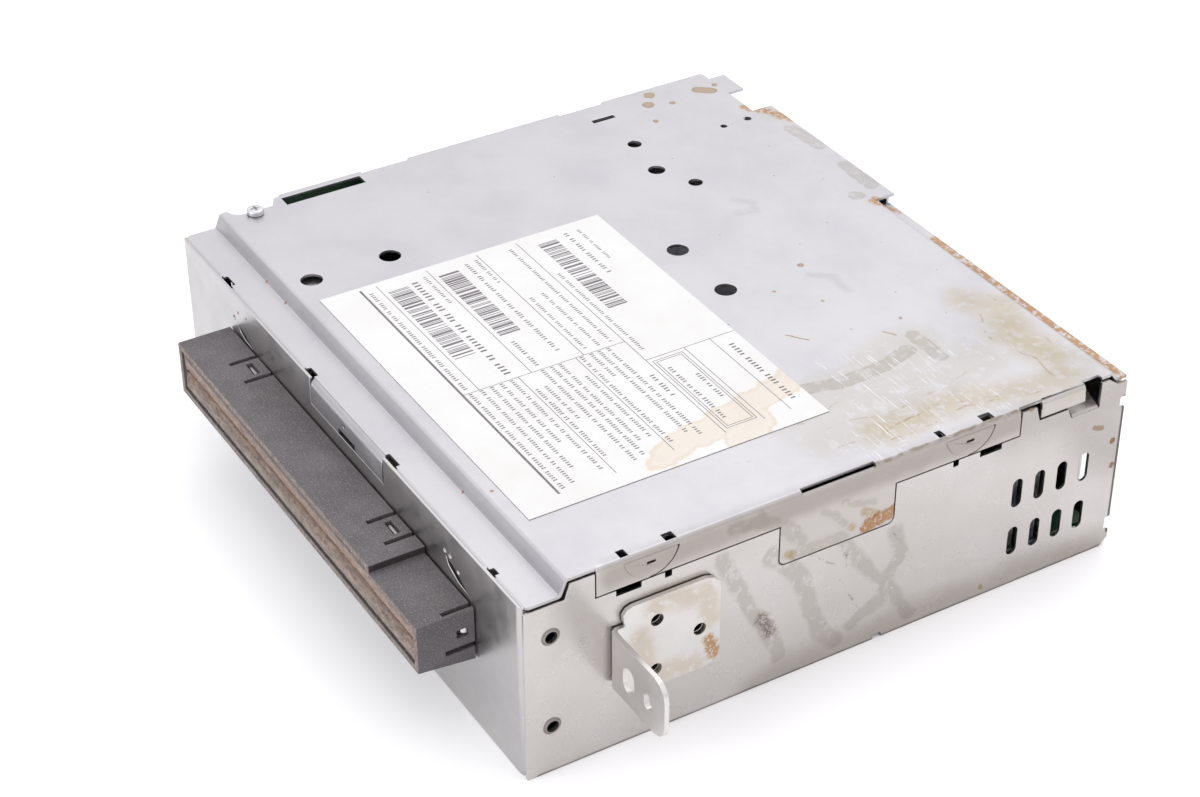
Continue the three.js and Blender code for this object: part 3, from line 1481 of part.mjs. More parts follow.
const rollerTrain = { teeth: gearTeeth.roller, phase: 0 };
const idlerTrain = {
  teeth: gearTeeth.idler,
  phase: meshPhase(gearTeeth.idler, rollerTrain, meshAngles.idler),
};
const reductionTrain = {
  teeth: gearTeeth.reduction,
  phase: meshPhase(gearTeeth.reduction, idlerTrain, meshAngles.reduction),
};
const pinionPhase = meshPhase(gearTeeth.pinion, reductionTrain, meshAngles.pinion);
const pinionShaftRadius = 0.9;

add('roller_gear', gear(gearTeeth.roller, rollerAxis, 0, shaftRadius + fit / 4), whitePlastic);
add('idler_gear', gear(gearTeeth.idler, idlerAxis, idlerTrain.phase, gearPinRadius + fit / 2), whitePlastic);
add('reduction_gear', gear(gearTeeth.reduction, reductionAxis, reductionTrain.phase, gearPinRadius + fit / 2),
  whitePlastic);

// Loading motor inside the left wall, its shaft through the wall into the pinion
const loadMotorRadius = 3.9;
const loadMotorLength = 17;
const motorSide = chassisLeft + chassisSheet / 2 + fit;

function motorPinion() {
  const toothed = prism('X', gearOutline(gearTeeth.pinion, pinionAxis, pinionPhase), gearLeft, gearRight);
  const shaft = rod('X', pinionShaftRadius, gearRight - sheet, motorSide + overrun, ...pinionAxis, smallSides);
  return unite(toothed, shaft);
}

function loadingMotor() {
  const [y, z] = pinionAxis;
  const flat = box(motorSide - overrun, motorSide + loadMotorLength + overrun, y - 2 * loadMotorRadius,
    y + 2 * loadMotorRadius, chassisTop + fit, z + loadMotorRadius * 0.9);
  return cut(unite(
    rod('X', loadMotorRadius, motorSide, motorSide + loadMotorLength, y, z).intersect(flat),
    rod('X', loadMotorRadius / 3, motorSide, motorSide + loadMotorLength + sheet, y, z, smallSides)),
  rod('X', pinionShaftRadius + fit, motorSide - overrun, motorSide + 2 * overrun, y, z, smallSides));
}

add('motor_pinion', motorPinion(), brass);
add('loading_motor', loadingMotor(), brightSteel);

// Spindle motor, its shaft and the turntable
const spindleMotorRadius = 11.5;
const spindleMotorShare = 0.58;
const spindleMotorHeight = (chassisUnder - boardTop) * spindleMotorShare;
const spindleRadius = 1;
const turntableRadius = 13.5;
const turntableThickness = 2.6;
const hubRadius = 7.3;
const hubRise = 1.9;
const sleeveRadius = 3;

function spindleMotor() {
  const top = chassisUnder - fit;
  const body = unite(
    rod('Z', spindleMotorRadius, top - spindleMotorHeight, top, spindleX, spindleY),
    rod('Z', motorHole - fit, top - sheet, chassisTop, spindleX, spindleY));
  return cut(body, rod('Z', spindleRadius + fit, top - spindleMotorHeight / 2, chassisTop + overrun,
    spindleX, spindleY, smallSides));
}

function turntable() {
  const under = playHeight - turntableThickness;
  return cut(unite(
    rod('Z', sleeveRadius, chassisTop + fit, under + sheet, spindleX, spindleY, smallSides),
    rod('Z', turntableRadius, under, playHeight, spindleX, spindleY, roundSides * 2),
    rod('Z', hubRadius, playHeight - sheet, playHeight + hubRise / 2, spindleX, spindleY),
    rod('Z', hubRadius, playHeight + hubRise / 2, playHeight + hubRise, spindleX, spindleY, roundSides,
      hubRadius * 0.8)),
  rod('Z', spindleRadius + fit / 4, chassisTop - overrun, playHeight + hubRise + overrun, spindleX, spindleY,
    smallSides));
}

add('spindle_motor', spindleMotor(), brightSteel);
add('turntable', turntable(), darkEpoxy);
add('spindle_shaft', rod('Z', spindleRadius, chassisUnder - spindleMotorHeight / 2, playHeight + hubRise - fit,
  spindleX, spindleY, smallSides), brightSteel);

// Pickup sled on a guide rod and a lead screw, shown at its innermost place
const sledInner = 88.5;
const sledLength = 12.4;
const sledHalf = 18.4;
const sledDrop = 1.8;
const sledHeight = 4.1;
const sledTop = playHeight - sledDrop;
const sledBottom = sledTop - sledHeight;
const sledEye = 2.6;
const lensRadius = 2;
const lensBack = 96.6;
const lensRise = 0.9;
const lensSeat = 3.4;

function pickupSled() {
  const y0 = back(sledInner);
  const y1 = back(sledInner + sledLength);
  const x0 = spindleX - sledHalf;
  const x1 = spindleX + sledHalf;
  const body = unite(
    box(x0 + sledEye, x1 - sledEye, y0, y1, sledBottom - 2 * sheet, sledTop - sheet),
    [-railOffset, railOffset].map((x) => rod('Y', sledEye, y0, y1, spindleX + x, railZ, smallSides * 2)),
    rod('Z', lensSeat, sledTop - 2 * sheet, sledTop, spindleX, back(lensBack)));
  return cut(body,
    [-railOffset, railOffset].map((x) =>
      rod('Y', railRadius + fit, y0 - overrun, y1 + overrun, spindleX + x, railZ, smallSides)),
    rod('Z', lensRadius + fit / 2, sledTop - 3 * sheet, sledTop + overrun, spindleX, back(lensBack)));
}

const lensProfile = 5;

function objectiveLens() {
  const base = sledTop - 2 * sheet;
  const top = sledTop + lensRise;
  const points = [new THREE.Vector2(0, base), new THREE.Vector2(lensRadius, base)];
  for (let i = 0; i <= lensProfile; i += 1) {
    const angle = Math.PI / 2 * i / lensProfile;
    const rim = top - lensRise;
    points.push(new THREE.Vector2(lensRadius * Math.cos(angle), rim + lensRise * Math.sin(angle)));
  }
  points[points.length - 1].x = 0;
  const geometry = new THREE.LatheGeometry(points, roundSides);
  geometry.rotateX(Math.PI / 2);
  geometry.translate(spindleX, back(lensBack), 0);
  return solid(geometry);
}

add('pickup_sled', pickupSled(), aluminium);
add('objective_lens', objectiveLens(), lensGlass);
add('lead_screw', rod('Y', railRadius, back(railStart + fit), back(railEnd + railRadius),
  spindleX - railOffset, railZ, smallSides), brightSteel);
add('guide_rod', rod('Y', railRadius, back(railStart + fit), back(railEnd - fit), spindleX + railOffset, railZ,
  smallSides), brightSteel);

// Stepper motor that turns the lead screw
const stepperRadius = 3.2;
const stepperLength = 6;

function sledMotor() {
  const y0 = back(railEnd + fit);
  return cut(rod('Y', stepperRadius, y0, y0 + stepperLength, spindleX - railOffset, railZ),
    rod('Y', railRadius + fit, y0 - overrun, y0 + overrun, spindleX - railOffset, railZ, smallSides));
}

add('sled_motor', sledMotor(), brightSteel);

// Clamp arm: drawn in its working place, then turned up about its hinge as it is with no disc in
const clampLift = 4;
const armSheet = 1.2;
const armHalf = 11;
const armFront = 16;
const armHole = 5.4;
const wingFront = 124;
const wingBack = 131;
const wingX = chassisRight - fit;
const puckRadius = 14;
const puckLift = 1.3;
const puckBottom = playHeight + puckLift;
const puckThickness = 2.8;
const puckRecess = 8;
const puckRecessRise = 1.5;
const puckNeck = 4.5;
const puckCapRadius = 7;

function clampArm() {
  const earX = lugReach - chassisSheet - 2 * fit;
  const armRear = hingeY - clampPinRadius * 3;
  const plan = [
    [spindleX - armHalf, spindleY - armFront],
    [spindleX + armHalf, spindleY - armFront],
    [spindleX + earX, armRear - lugWidth],
    [spindleX + earX, armRear],
    [spindleX - earX, armRear],
    [spindleX - earX, armRear - lugWidth],
  ];
  const ears = [-1, 1].map((side) => {
    const x = spindleX + side * earX;
    return box(Math.min(x, x - side * armSheet), Math.max(x, x - side * armSheet), armRear - overrun,
      hingeY + clampPinRadius * 2, hingeZ - clampPinRadius * 2, hingeZ + clampPinRadius * 2);
  });
  const wing = box(spindleX + earX - armSheet, wingX, back(wingFront), back(wingBack),
    armBottom, armBottom + armSheet);
  return cut(unite(prism('Z', plan, armBottom, armBottom + armSheet), ears, wing),
    rod('Z', armHole, armBottom - overrun, armBottom + overrun * 2, spindleX, spindleY),
    rod('X', clampPinRadius + fit, spindleX - lugReach, spindleX + lugReach, hingeY, hingeZ, smallSides));
}

function clampPuck() {
  const top = puckBottom + puckThickness;
  const capBottom = armBottom + armSheet + 2 * fit;
  return cut(unite(
    rod('Z', puckRadius, puckBottom, top, spindleX, spindleY, roundSides * 2),
    rod('Z', puckNeck, top - sheet, capBottom + sheet, spindleX, spindleY),
    rod('Z', puckCapRadius, capBottom, capBottom + armSheet, spindleX, spindleY)),
  rod('Z', puckRecess, puckBottom - overrun, puckBottom + puckRecessRise, spindleX, spindleY));
}

const clampGroup = new THREE.Group();
const clampInner = new THREE.Group();
clampGroup.position.set(0, hingeY, hingeZ);
clampGroup.rotation.x = -THREE.MathUtils.degToRad(clampLift);
clampInner.position.set(0, -hingeY, -hingeZ);
clampGroup.add(clampInner);
radio.add(clampGroup);
add('clamp_arm', clampArm(), brightSteel, clampInner);
add('clamp_puck', clampPuck(), darkEpoxy, clampInner);
add('clamp_pin', rod('X', clampPinRadius, spindleX - lugReach - sheet, spindleX + lugReach + sheet,
  hingeY, hingeZ, smallSides), brightSteel);

// Mode slider along the right wall; the ramp on its finger lets the clamp arm's wing down
const fingerBack = 120;
const rampRise = 0.75;

function modeSlider() {
  const x0 = sliderOuter - sliderThickness;
  const y0 = back(sliderStart);
  const plate = box(x0, sliderOuter, y0, y0 + sliderLength, sliderLow, sliderHigh);
  const finger = prism('X', [
    [back(fingerBack), sliderLow],
    [back(wingBack), sliderLow],
    [back(wingBack), armBottom - fit + rampRise],
    [back(wingBack - sliderTravel), armBottom - fit],
    [back(fingerBack), armBottom - fit],
  ], x0, sliderOuter);
  const slots = sliderPinShares.map((share) => {
    const y = sliderPinY(share);
    const reach = sliderPinRadius + fit;
    return box(x0 - overrun, sliderOuter + overrun, y - sliderTravel - reach, y + reach,
      sliderPinZ - reach, sliderPinZ + reach);
  });
  return cut(unite(plate, finger), slots);
}

add('mode_slider', modeSlider(), whitePlastic);

// Trigger lever: the disc's edge pushes its peg at the end of loading
const leverThickness = 1.4;
const leverReach = 15;
const leverEye = 3;
const leverPegRadius = 1.2;
const leverPegRise = 2.6;
const leverPegTop = feedHeight + leverPegRise;
const leverAngle = 0.1;

function triggerLever() {
  const z0 = chassisTop + 2 * fit;
  const tipX = leverX + leverReach * Math.cos(leverAngle);
  const tipY = leverY + leverReach * Math.sin(leverAngle);
  const across = [-Math.sin(leverAngle) * leverEye / 2, Math.cos(leverAngle) * leverEye / 2];
  const arm = prism('Z', [
    [leverX - across[0], leverY - across[1]],
    [tipX - across[0], tipY - across[1]],
    [tipX + across[0], tipY + across[1]],
    [leverX + across[0], leverY + across[1]],
  ], z0, z0 + leverThickness);
  return cut(unite(
    arm,
    rod('Z', leverEye, z0, z0 + leverThickness, leverX, leverY),
    rod('Z', leverPegRadius, z0, leverPegTop, tipX, tipY, smallSides)),
  rod('Z', leverPinRadius + fit, z0 - overrun, z0 + overrun * 2, leverX, leverY, smallSides));
}

add('trigger_lever', triggerLever(), whitePlastic);

// Deck board under the chassis, with the flat film cable that joins it to the main board
const deckBoardOut = 16.4;
const deckBoardLeft = slotCentre + deckBoardOut;
const deckBoardWidth = 38;
const deckBoardStart = 20;
const deckBoardLength = 52;
const deckBoardThickness = 1.2;
const filmWidth = 14;
const filmThickness = 0.3;
const filmBend = 1.2;
const filmSocket = 3;
const filmSlack = 7;
const deckBoardBottom = chassisUnder - fit - deckBoardThickness;

function deckBoard() {
  const socketX = deckBoardLeft + deckBoardWidth / 2;
  const end = deckBoardStart + deckBoardLength;
  return unite(
    box(deckBoardLeft, deckBoardLeft + deckBoardWidth, back(deckBoardStart), back(end),
      deckBoardBottom, chassisUnder - fit),
    box(socketX - filmWidth / 2 - sheet, socketX + filmWidth / 2 + sheet, back(end - filmSocket - sheet),
      back(end - sheet), deckBoardBottom - sheet * 2, deckBoardBottom + sheet / 2));
}

function deckFilm() {
  const socketX = deckBoardLeft + deckBoardWidth / 2;
  const end = back(deckBoardStart + deckBoardLength - sheet);
  const high = deckBoardBottom - sheet;
  const low = boardTop + fit + filmThickness / 2;
  const line = [[end + fit, high], [end + filmSlack, high], [end + filmSlack, low], [end - filmSlack, low]];
  return prism('X', folded(line, filmThickness, filmBend), socketX - filmWidth / 2, socketX + filmWidth / 2);
}

add('deck_board', deckBoard(), greenBoard);
add('deck_film', deckFilm(), amberFilm);

// Film cable from the control board down to the main board, along the deck's left
const controlFilmStart = 70;

function controlFilm() {
  const x = (controlRight + deckLeft) / 2;
  const y0 = back(controlFilmStart);
  const top = controlTop + fit + filmThickness / 2;
  const low = boardTop + fit + filmThickness / 2;
  const line = [[controlRight - filmSlack, top], [x, top], [x, low], [x - filmSlack, low]];
  return prism('Y', folded(line.reverse(), filmThickness, filmBend), y0, y0 + filmWidth);
}

add('control_film', controlFilm(), amberFilm);

export default radio;
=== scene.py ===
import json
import math

import bmesh
import bpy
import numpy as np
from mathutils import Matrix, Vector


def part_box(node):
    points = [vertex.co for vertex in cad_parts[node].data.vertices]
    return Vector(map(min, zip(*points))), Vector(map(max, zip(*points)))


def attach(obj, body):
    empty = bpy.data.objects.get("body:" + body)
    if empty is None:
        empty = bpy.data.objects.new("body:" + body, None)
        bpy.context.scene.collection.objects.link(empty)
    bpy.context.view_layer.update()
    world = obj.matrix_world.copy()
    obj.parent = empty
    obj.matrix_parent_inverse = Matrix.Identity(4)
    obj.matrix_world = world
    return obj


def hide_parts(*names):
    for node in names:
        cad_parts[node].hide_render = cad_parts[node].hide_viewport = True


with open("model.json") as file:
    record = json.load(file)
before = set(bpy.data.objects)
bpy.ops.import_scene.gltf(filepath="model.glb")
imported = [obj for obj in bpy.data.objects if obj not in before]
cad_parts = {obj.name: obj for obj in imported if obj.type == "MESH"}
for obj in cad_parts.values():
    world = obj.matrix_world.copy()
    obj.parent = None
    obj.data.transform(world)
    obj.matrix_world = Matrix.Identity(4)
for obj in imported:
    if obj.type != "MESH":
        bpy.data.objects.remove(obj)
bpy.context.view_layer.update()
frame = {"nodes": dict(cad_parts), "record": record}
nodes = frame["nodes"]

MM = 0.001
MATH = "ShaderNodeMath"
VECTOR = "ShaderNodeVectorMath"
NOISE = "ShaderNodeTexNoise"
RANGE = "ShaderNodeMapRange"
MIX = "ShaderNodeMix"
SPLIT = "ShaderNodeSeparateXYZ"

# Inputs of a Mix node by number: how much, the colour below and the colour that goes over it
FACTOR, UNDER, OVER = 0, 6, 7

# Outputs by number: a mixed colour, Object coordinates, a noise's colour, the plain number that a vector
# sum gives, and the three parts of a split place
MIXED, OBJECT, COLOUR, NUMBER = 2, 3, 1, 1
X, Y, Z = 0, 1, 2

# A Mix node that lays one colour over another, and one that lets it soak in by multiplying
LAYER = {"take": MIXED, "data_type": "RGBA"}
SOAK = {**LAYER, "blend_type": "MULTIPLY"}

# The smoothed form of a Map Range node
EASED = {"interpolation_type": "SMOOTHSTEP"}


# Colours and nodes

def linear(code, alpha=1.0):
    """A #RRGGBB colour as linear light: the sRGB curve undone channel by channel."""
    parts = [int(code[i:i + 2], 16) / 255 for i in (1, 3, 5)]
    return tuple(p / 12.92 if p <= 0.04045 else ((p + 0.055) / 1.055) ** 2.4 for p in parts) + (alpha,)


def grow(tree, kind, inputs=None, take=0, **settings):
    """Adds a node: settings are its own properties, inputs are values, #RRGGBB colours or sockets to
    link from. The output at take comes back, or the node itself when it has none."""
    node = tree.nodes.new(kind)
    for key, value in settings.items():
        setattr(node, key, value)
    for key, value in (inputs or {}).items():
        socket = node.inputs[key]
        if isinstance(value, bpy.types.NodeSocket):
            tree.links.new(value, socket)
        elif isinstance(value, str) and value.startswith("#"):
            socket.default_value = linear(value)
        else:
            socket.default_value = value
    return node.outputs[take] if node.outputs else node


def start(name):
    """A new material: its tree and its Object coordinates in millimetres."""
    material = bpy.data.materials.new(name)
    material.use_nodes = True
    tree = material.node_tree
    tree.nodes.clear()
    metres = grow(tree, "ShaderNodeTexCoord", take=OBJECT)
    return material, tree, grow(tree, VECTOR, {0: metres, "Scale": 1 / MM}, operation="SCALE")


def close(tree, height, depth, **shader):
    """Ends a material: fine relief of a depth in millimetres, the shader and the output."""
    relief = grow(tree, "ShaderNodeBump", {"Height": height, "Distance": depth * MM, "Strength": 1.0})
    wires = {key.replace("_", " "): value for key, value in shader.items()}
    surface = grow(tree, "ShaderNodeBsdfPrincipled", {**wires, "Normal": relief})
    grow(tree, "ShaderNodeOutputMaterial", {"Surface": surface})


def cloud(tree, place, size, low, high, detail=4.0, to=(0.0, 1.0), stretch=None):
    """Noise with lumps about size millimetres across, eased from low to high into the range to;
    stretch squeezes the coordinates along each axis first."""
    if stretch:
        place = grow(tree, VECTOR, {0: place, 1: stretch}, operation="MULTIPLY")
    lumps = grow(tree, NOISE, {"Vector": place, "Scale": 1 / size, "Detail": detail, "Roughness": 0.6})
    span = {"From Min": low, "From Max": high, "To Min": to[0], "To Max": to[1]}
    return grow(tree, RANGE, {"Value": lumps, **span}, **EASED)


def torn(tree, place, amount, size):
    """Coordinates pushed about by noise, so that an outline drawn with them wanders."""
    push = grow(tree, NOISE, {"Vector": place, "Scale": 1 / size, "Detail": 4.0}, take=COLOUR)
    middle = grow(tree, VECTOR, {0: push, 1: (0.5, 0.5, 0.5)}, operation="SUBTRACT")
    scaled = grow(tree, VECTOR, {0: middle, "Scale": 2 * amount}, operation="SCALE")
    return grow(tree, VECTOR, {0: place, 1: scaled}, operation="ADD")


def reach(tree, place, spots):
    """How far each point lies outside the nearest of some spots, in millimetres, less than 0 inside.
    A spot is a path of points and the radius round it."""
    nearest = None
    for *path, radius in spots:
        for first, last in list(zip(path, path[1:])) or [(path[0], path[0])]:
            along = np.array(last, float) - np.array(first, float)
            arm = grow(tree, VECTOR, {0: place, 1: first}, operation="SUBTRACT")
            if along @ along > 0:
                slope = tuple(along / (along @ along))
                share = grow(tree, VECTOR, {0: arm, 1: slope}, take=NUMBER, operation="DOT_PRODUCT")
                share = grow(tree, "ShaderNodeClamp", {"Value": share})
                foot = grow(tree, VECTOR, {0: tuple(along), "Scale": share}, operation="SCALE")
                arm = grow(tree, VECTOR, {0: arm, 1: foot}, operation="SUBTRACT")
            off = grow(tree, VECTOR, {0: arm}, take=NUMBER, operation="LENGTH")
            off = grow(tree, MATH, {0: off, 1: float(radius)}, operation="SUBTRACT")
            if nearest is not None:
                off = grow(tree, MATH, {0: nearest, 1: off, 2: 1.0}, operation="SMOOTH_MIN")
            nearest = off
    return nearest


# Zinc-coated sheet steel

def zinc_sheet(name, tone, shade, rough, stains_and_shade=(), scuffs=(), buckle=0.0, lips=None):
    """Zinc-coated steel sheet, rolled, stamped and folded: a pale satin metal whose coating clouds
    faintly, with a fine even grain that is drawn coarser than it is, so that it shows. Each stain is a
    thin coat over it that multiplies its colour and dulls it, darker along its tide line; some of these
    coats are painted shade rather than a stain. Each scuff is a patch of fine bright scratches. buckle is
    the height of the slow dents of thin sheet, and lips a darker, warmer tone painted on the folded lips,
    standing in for the light on the side face they lie in."""
    material, tree, place = start(name)
    clouds = cloud(tree, place, 26, 0.35, 0.7)
    colour = grow(tree, MIX, {FACTOR: clouds, UNDER: tone, OVER: shade}, **LAYER)
    # Painted light: past LIP_START the lid's folded lips get a darker, warmer tone than its top, standing in
    # for the light on the side face they lie in
    if lips:
        x = grow(tree, SPLIT, {"Vector": place}, take=X)
        lip_zone = grow(tree, RANGE, {"Value": x, "From Min": LIP_START, "From Max": LIP_START + 0.6})
        colour = grow(tree, MIX, {FACTOR: lip_zone, UNDER: colour, OVER: lips}, **LAYER)
    speck = cloud(tree, place, 0.5, 0.55, 0.8, 2.0, (0.0, 0.08))
    colour = grow(tree, MIX, {FACTOR: speck, UNDER: colour, OVER: "#DADADA"}, **SOAK)
    rough = cloud(tree, place, 5, 0.3, 0.75, to=(rough - 0.04, rough + 0.05))
    metal = 1.0
    for spots, paint, strength, soft, wander, broken, matt, tide in stains_and_shade:
        outline = reach(tree, torn(tree, place, *wander), spots)
        blur = {"From Min": soft / 2, "From Max": -soft / 2, "To Max": strength}
        mask = grow(tree, RANGE, {"Value": outline, **blur}, **EASED)
        if broken:
            size, level, left = broken
            holes = cloud(tree, place, size, level - 0.06, level + 0.06, 5.0, (left, 1.0))
            mask = grow(tree, MATH, {0: mask, 1: holes}, operation="MULTIPLY")
        colour = grow(tree, MIX, {FACTOR: mask, UNDER: colour, OVER: paint}, **SOAK)
        if tide:
            line = grow(tree, RANGE, {"Value": outline, "From Min": -0.9, "From Max": -0.1, "To Max": tide})
            line = grow(tree, MATH, {0: line, 1: mask}, operation="MULTIPLY")
            colour = grow(tree, MIX, {FACTOR: line, UNDER: colour, OVER: paint}, **SOAK)
        dull = grow(tree, MATH, {0: mask, 1: matt}, operation="MULTIPLY")
        rough = grow(tree, MATH, {0: rough, 1: dull}, operation="MAXIMUM")
        bare = grow(tree, MATH, {0: 1.0, 1: dull}, operation="SUBTRACT")
        metal = grow(tree, MATH, {0: metal, 1: bare}, operation="MINIMUM")
    for spots, stretch, strength in scuffs:
        lines = cloud(tree, torn(tree, place, 0.5, 12), 1.0, 0.66, 0.7, 2.0, (0.0, strength), stretch)
        outline = reach(tree, torn(tree, place, 3.0, 9), spots)
        near = grow(tree, RANGE, {"Value": outline, "From Min": 0.0, "From Max": -4.0})
        lines = grow(tree, MATH, {0: lines, 1: near}, operation="MULTIPLY")
        colour = grow(tree, MIX, {FACTOR: lines, UNDER: colour, OVER: "#E4E4EA"}, **LAYER)
    height = cloud(tree, place, 0.6, 0.0, 1.0, 1.0, (0.0, 0.0005))
    if buckle:
        dents = cloud(tree, place, 55, 0.1, 0.9, 1.0, (0.0, buckle))
        height = grow(tree, MATH, {0: height, 1: dents}, operation="ADD")
    close(tree, height, 1.0, Base_Color=colour, Roughness=rough, Metallic=metal)
    return material


def flat(points, z, radius):
    """Spots that lie at a height: one for each (x, y), or for each path of them."""
    paths = [path if isinstance(path, list) else [path] for path in points]
    return [tuple((x, y, z) for x, y in path) + (radius,) for path in paths]


def upright(points, x, radius):
    """Spots on a side wall: one for each (y, z), or for each path of them."""
    paths = [path if isinstance(path, list) else [path] for path in points]
    return [tuple((x, y, z) for y, z in path) + (radius,) for path in paths]


# Where the lid's top, the right side and the lid's folded lips lie, in millimetres
LID = 51.5
SIDE = 89.0
LIP_START = 88.2
BRACKET = 90.5

# How far an outline wanders and over what length
MILD = (0.8, 4)
ROUGH_EDGE = (1.4, 3)

# Spots on the lid
old_glue = flat([[(56, 10), (58.5, 22), (58, 33), (55.5, 42)]], LID, 2.2)
old_glue += flat([[(50.8, 47.1), (61.4, 47.2)]], LID, 2.0)
old_glue += flat([[(-48.7, 80.6), (-37.5, 81.8)], [(-25, 81.6), (-13, 81)], (-10.3, 74.5)], LID, 2.2)
yellow_film = flat([[(44, 67), (52, 72), (63, 68), (75, 70)]], LID, 4.5)
yellow_film += flat([[(83.5, 66), (83, 56), (80, 43), (78.5, 31), (80, 17)]], LID, 4.5)
yellow_film += flat([[(-64, 78.5), (-55, 82.5)]], LID, 1.6)
thin_film = flat([
    [(62, 4), (60, 24), (54, 44)], [(75, 5), (70, 30), (66, 56)], [(60, 66), (80, 72)]], LID, 7.5)
tide_marks = flat([
    [(76, -14), (80, 12), (77, 34), (84, 56)], [(82, 0), (84, 22), (81, 40), (86, 60)]], LID, 0.2)
tide_marks += flat([[(52, 66), (62, 62), (74, 66), (84, 64)], [(46, 74), (60, 75), (72, 73)]], LID, 0.22)
tide_marks += flat([
    [(63, -12), (67, 4), (64, 18)], [(70, -26), (74, -10)], [(72, 8), (74, 30), (70, 48)]], LID, 0.15)
specks = flat([
    (-30, 62), (-12, 33), (-3, 60), (8, 20), (33, 55), (24, 12), (-52, 44), (-44, 70), (41, 36)], LID, 0.22)
specks += flat([
    (-70, -20), (-60, 12), (-66, 40), (12, 66), (47, 60), (30, 70), (2, 48), (-22, 72)], LID, 0.16)
tan_drops = flat([(-85.6, 57.7), (-81, 54.5), [(-81.5, 71), (-79, 74)]], LID, 1.7)
tan_drops += flat([(-78.5, 60.8), (-71.9, 51.3), (-81.4, 76.5), (10.5, 42.3)], LID, 0.9)
tan_drops += flat([(17.4, 29.7), (27.1, 37.4), (43.3, 49), (53.2, -69.3)], LID, 0.5)
tan_drops += flat([[(35, 21.2), (39.7, 24.6)], [(46, 42), (48.6, 43.5)]], LID, 0.25)
faint_rings = flat([
    [(-25, 46), (-21.5, 49.5), (-17.5, 47.5), (-19, 43)], [(15.5, 42), (19, 46), (26, 45.5)]], LID, 1.2)
edge_rust = flat([[(16, 81), (30, 80.8), (56, 80.2), (88, 81.2)]], 49.6, 1.9)
edge_rust += flat([[(-5.4, 77.4), (-1.5, 80)]], 50.6, 2.1)
edge_rust += flat([[(-66, 76.5), (-61, 80.5), (-54, 83.5)]], LID, 1.5)
bend_grime = flat([[(88.4, -2), (88.4, 54)]], 51.2, 0.4)
riser_rust = flat([(-57.1, -72.7), (-45.7, -72.7), (46, -72.7)], 47.9, 0.45)
tab_rust = upright([[(7, 35.0), (14.4, 36.4)]], SIDE, 1.9)
tab_olive = upright([(2.8, 36.3), [(-14.6, 35.6), (-13.4, 34.8)], [(9, 37.5), (6, 39.5)]], SIDE, 1.1)
lip_film = upright([
    [(-29.6, 48.5), (-22.5, 48.2), (-15.1, 43.4), (-11.1, 38)], [(-13, 35), (0, 34.4)]], SIDE, 1.7)
lip_film += upright([[(-5, 44), (1, 38)], [(0, 44), (9, 41)]], SIDE, 0.8)
# Painted shade: a soft dark band along the folded lips just below the lid's bend, standing in for the shade
# under the fold
painted_lip_shade = upright([[(-60, 48.2), (52, 48.2)]], SIDE, 3.2)

# Each stain or painted shade: its spots, its colour, its strength, the blur of its edge, how the edge
# wanders, how it is broken up (size of the holes, their level and what is left in them), how matt it is, and
# its tide line
lid_stains_and_shade = [
    (thin_film, "#F1EDE4", 0.75, 9.0, (4.0, 12), (3.5, 0.4, 0.2), 0.3, 0.0),
    (yellow_film, "#F0E7D2", 0.95, 8.0, (4.0, 11), (2.6, 0.42, 0.3), 0.45, 0.0),
    (tide_marks, "#DBC6A2", 0.8, 0.5, (2.4, 10), (2.4, 0.46, 0.0), 0.4, 0.0),
    (old_glue, "#E4E1DA", 0.8, 0.6, (0.8, 2.5), (2.2, 0.42, 0.2), 0.5, 0.3),
    (faint_rings, "#E3E2DF", 0.5, 2.0, MILD, (2.0, 0.4, 0.4), 0.4, 0.0),
    (tan_drops, "#DCC8AC", 1.0, 0.3, (0.5, 2), None, 0.6, 0.3),
    (specks, "#7A7468", 0.8, 0.3, (0.4, 1), None, 0.4, 0.0),
    (edge_rust, "#EBC093", 1.0, 1.4, ROUGH_EDGE, (1.4, 0.45, 0.1), 0.85, 0.3),
    (bend_grime, "#B8A88E", 0.8, 0.7, (0.5, 3), (2.6, 0.46, 0.25), 0.6, 0.0),
    (riser_rust, "#C98F5A", 1.0, 0.3, (0.3, 1), None, 0.8, 0.0),
    (painted_lip_shade, "#D9D5D2", 0.9, 4.0, MILD, None, 0.1, 0.0),
    (lip_film, "#DEDCD6", 0.6, 1.4, (1.6, 5), (2.0, 0.4, 0.2), 0.45, 0.3),
    (tab_olive, "#E3D3AE", 0.8, 1.2, MILD, (1.2, 0.4, 0.2), 0.6, 0.2),
    (tab_rust, "#DDB082", 1.0, 0.8, (1.6, 1.6), (0.7, 0.42, 0.3), 0.9, 0.3),
]

# Each scuff: its spots, how many times finer its scratches are along x, y and z, and its strength
lid_scuffs = [
    (flat([[(62, 36), (72, 24), (80, 14)]], LID, 11), (0.09, 4.0, 1.0), 1.0),
    (flat([[(53, 20), (56, 32)], [(82, 46), (78, 34)], [(58, 44), (64, 62)]], LID, 8), (0.12, 3.5, 1.0), 1.0),
    (flat([[(56.5, 24.8), (67, 18.7)], [(67.3, 26.8), (71.1, 40.9)], (85.4, 19), (78, 60)], LID, 6),
     (3.6, 0.2, 1.0), 0.5),
]

# Spots on the right side
smears = upright([[(-31.7, 41.3), (-26.6, 28.9), (-20.1, 17), (-15.9, 7.2)]], SIDE, 1.9)
smears += upright([[(-18.4, 37.1), (-10.6, 26.1), (-4.7, 10.4), (-0.6, 4.5)]], SIDE, 2.2)
smears += upright([[(-8, 48), (3, 29.7), (14.3, 14.5), (21.7, 3.2)]], SIDE, 1.5)
smears += upright([[(4.4, 7.8), (11.9, 11.4), (16.9, 22.8), (15.7, 29.8)]], SIDE, 1.8)
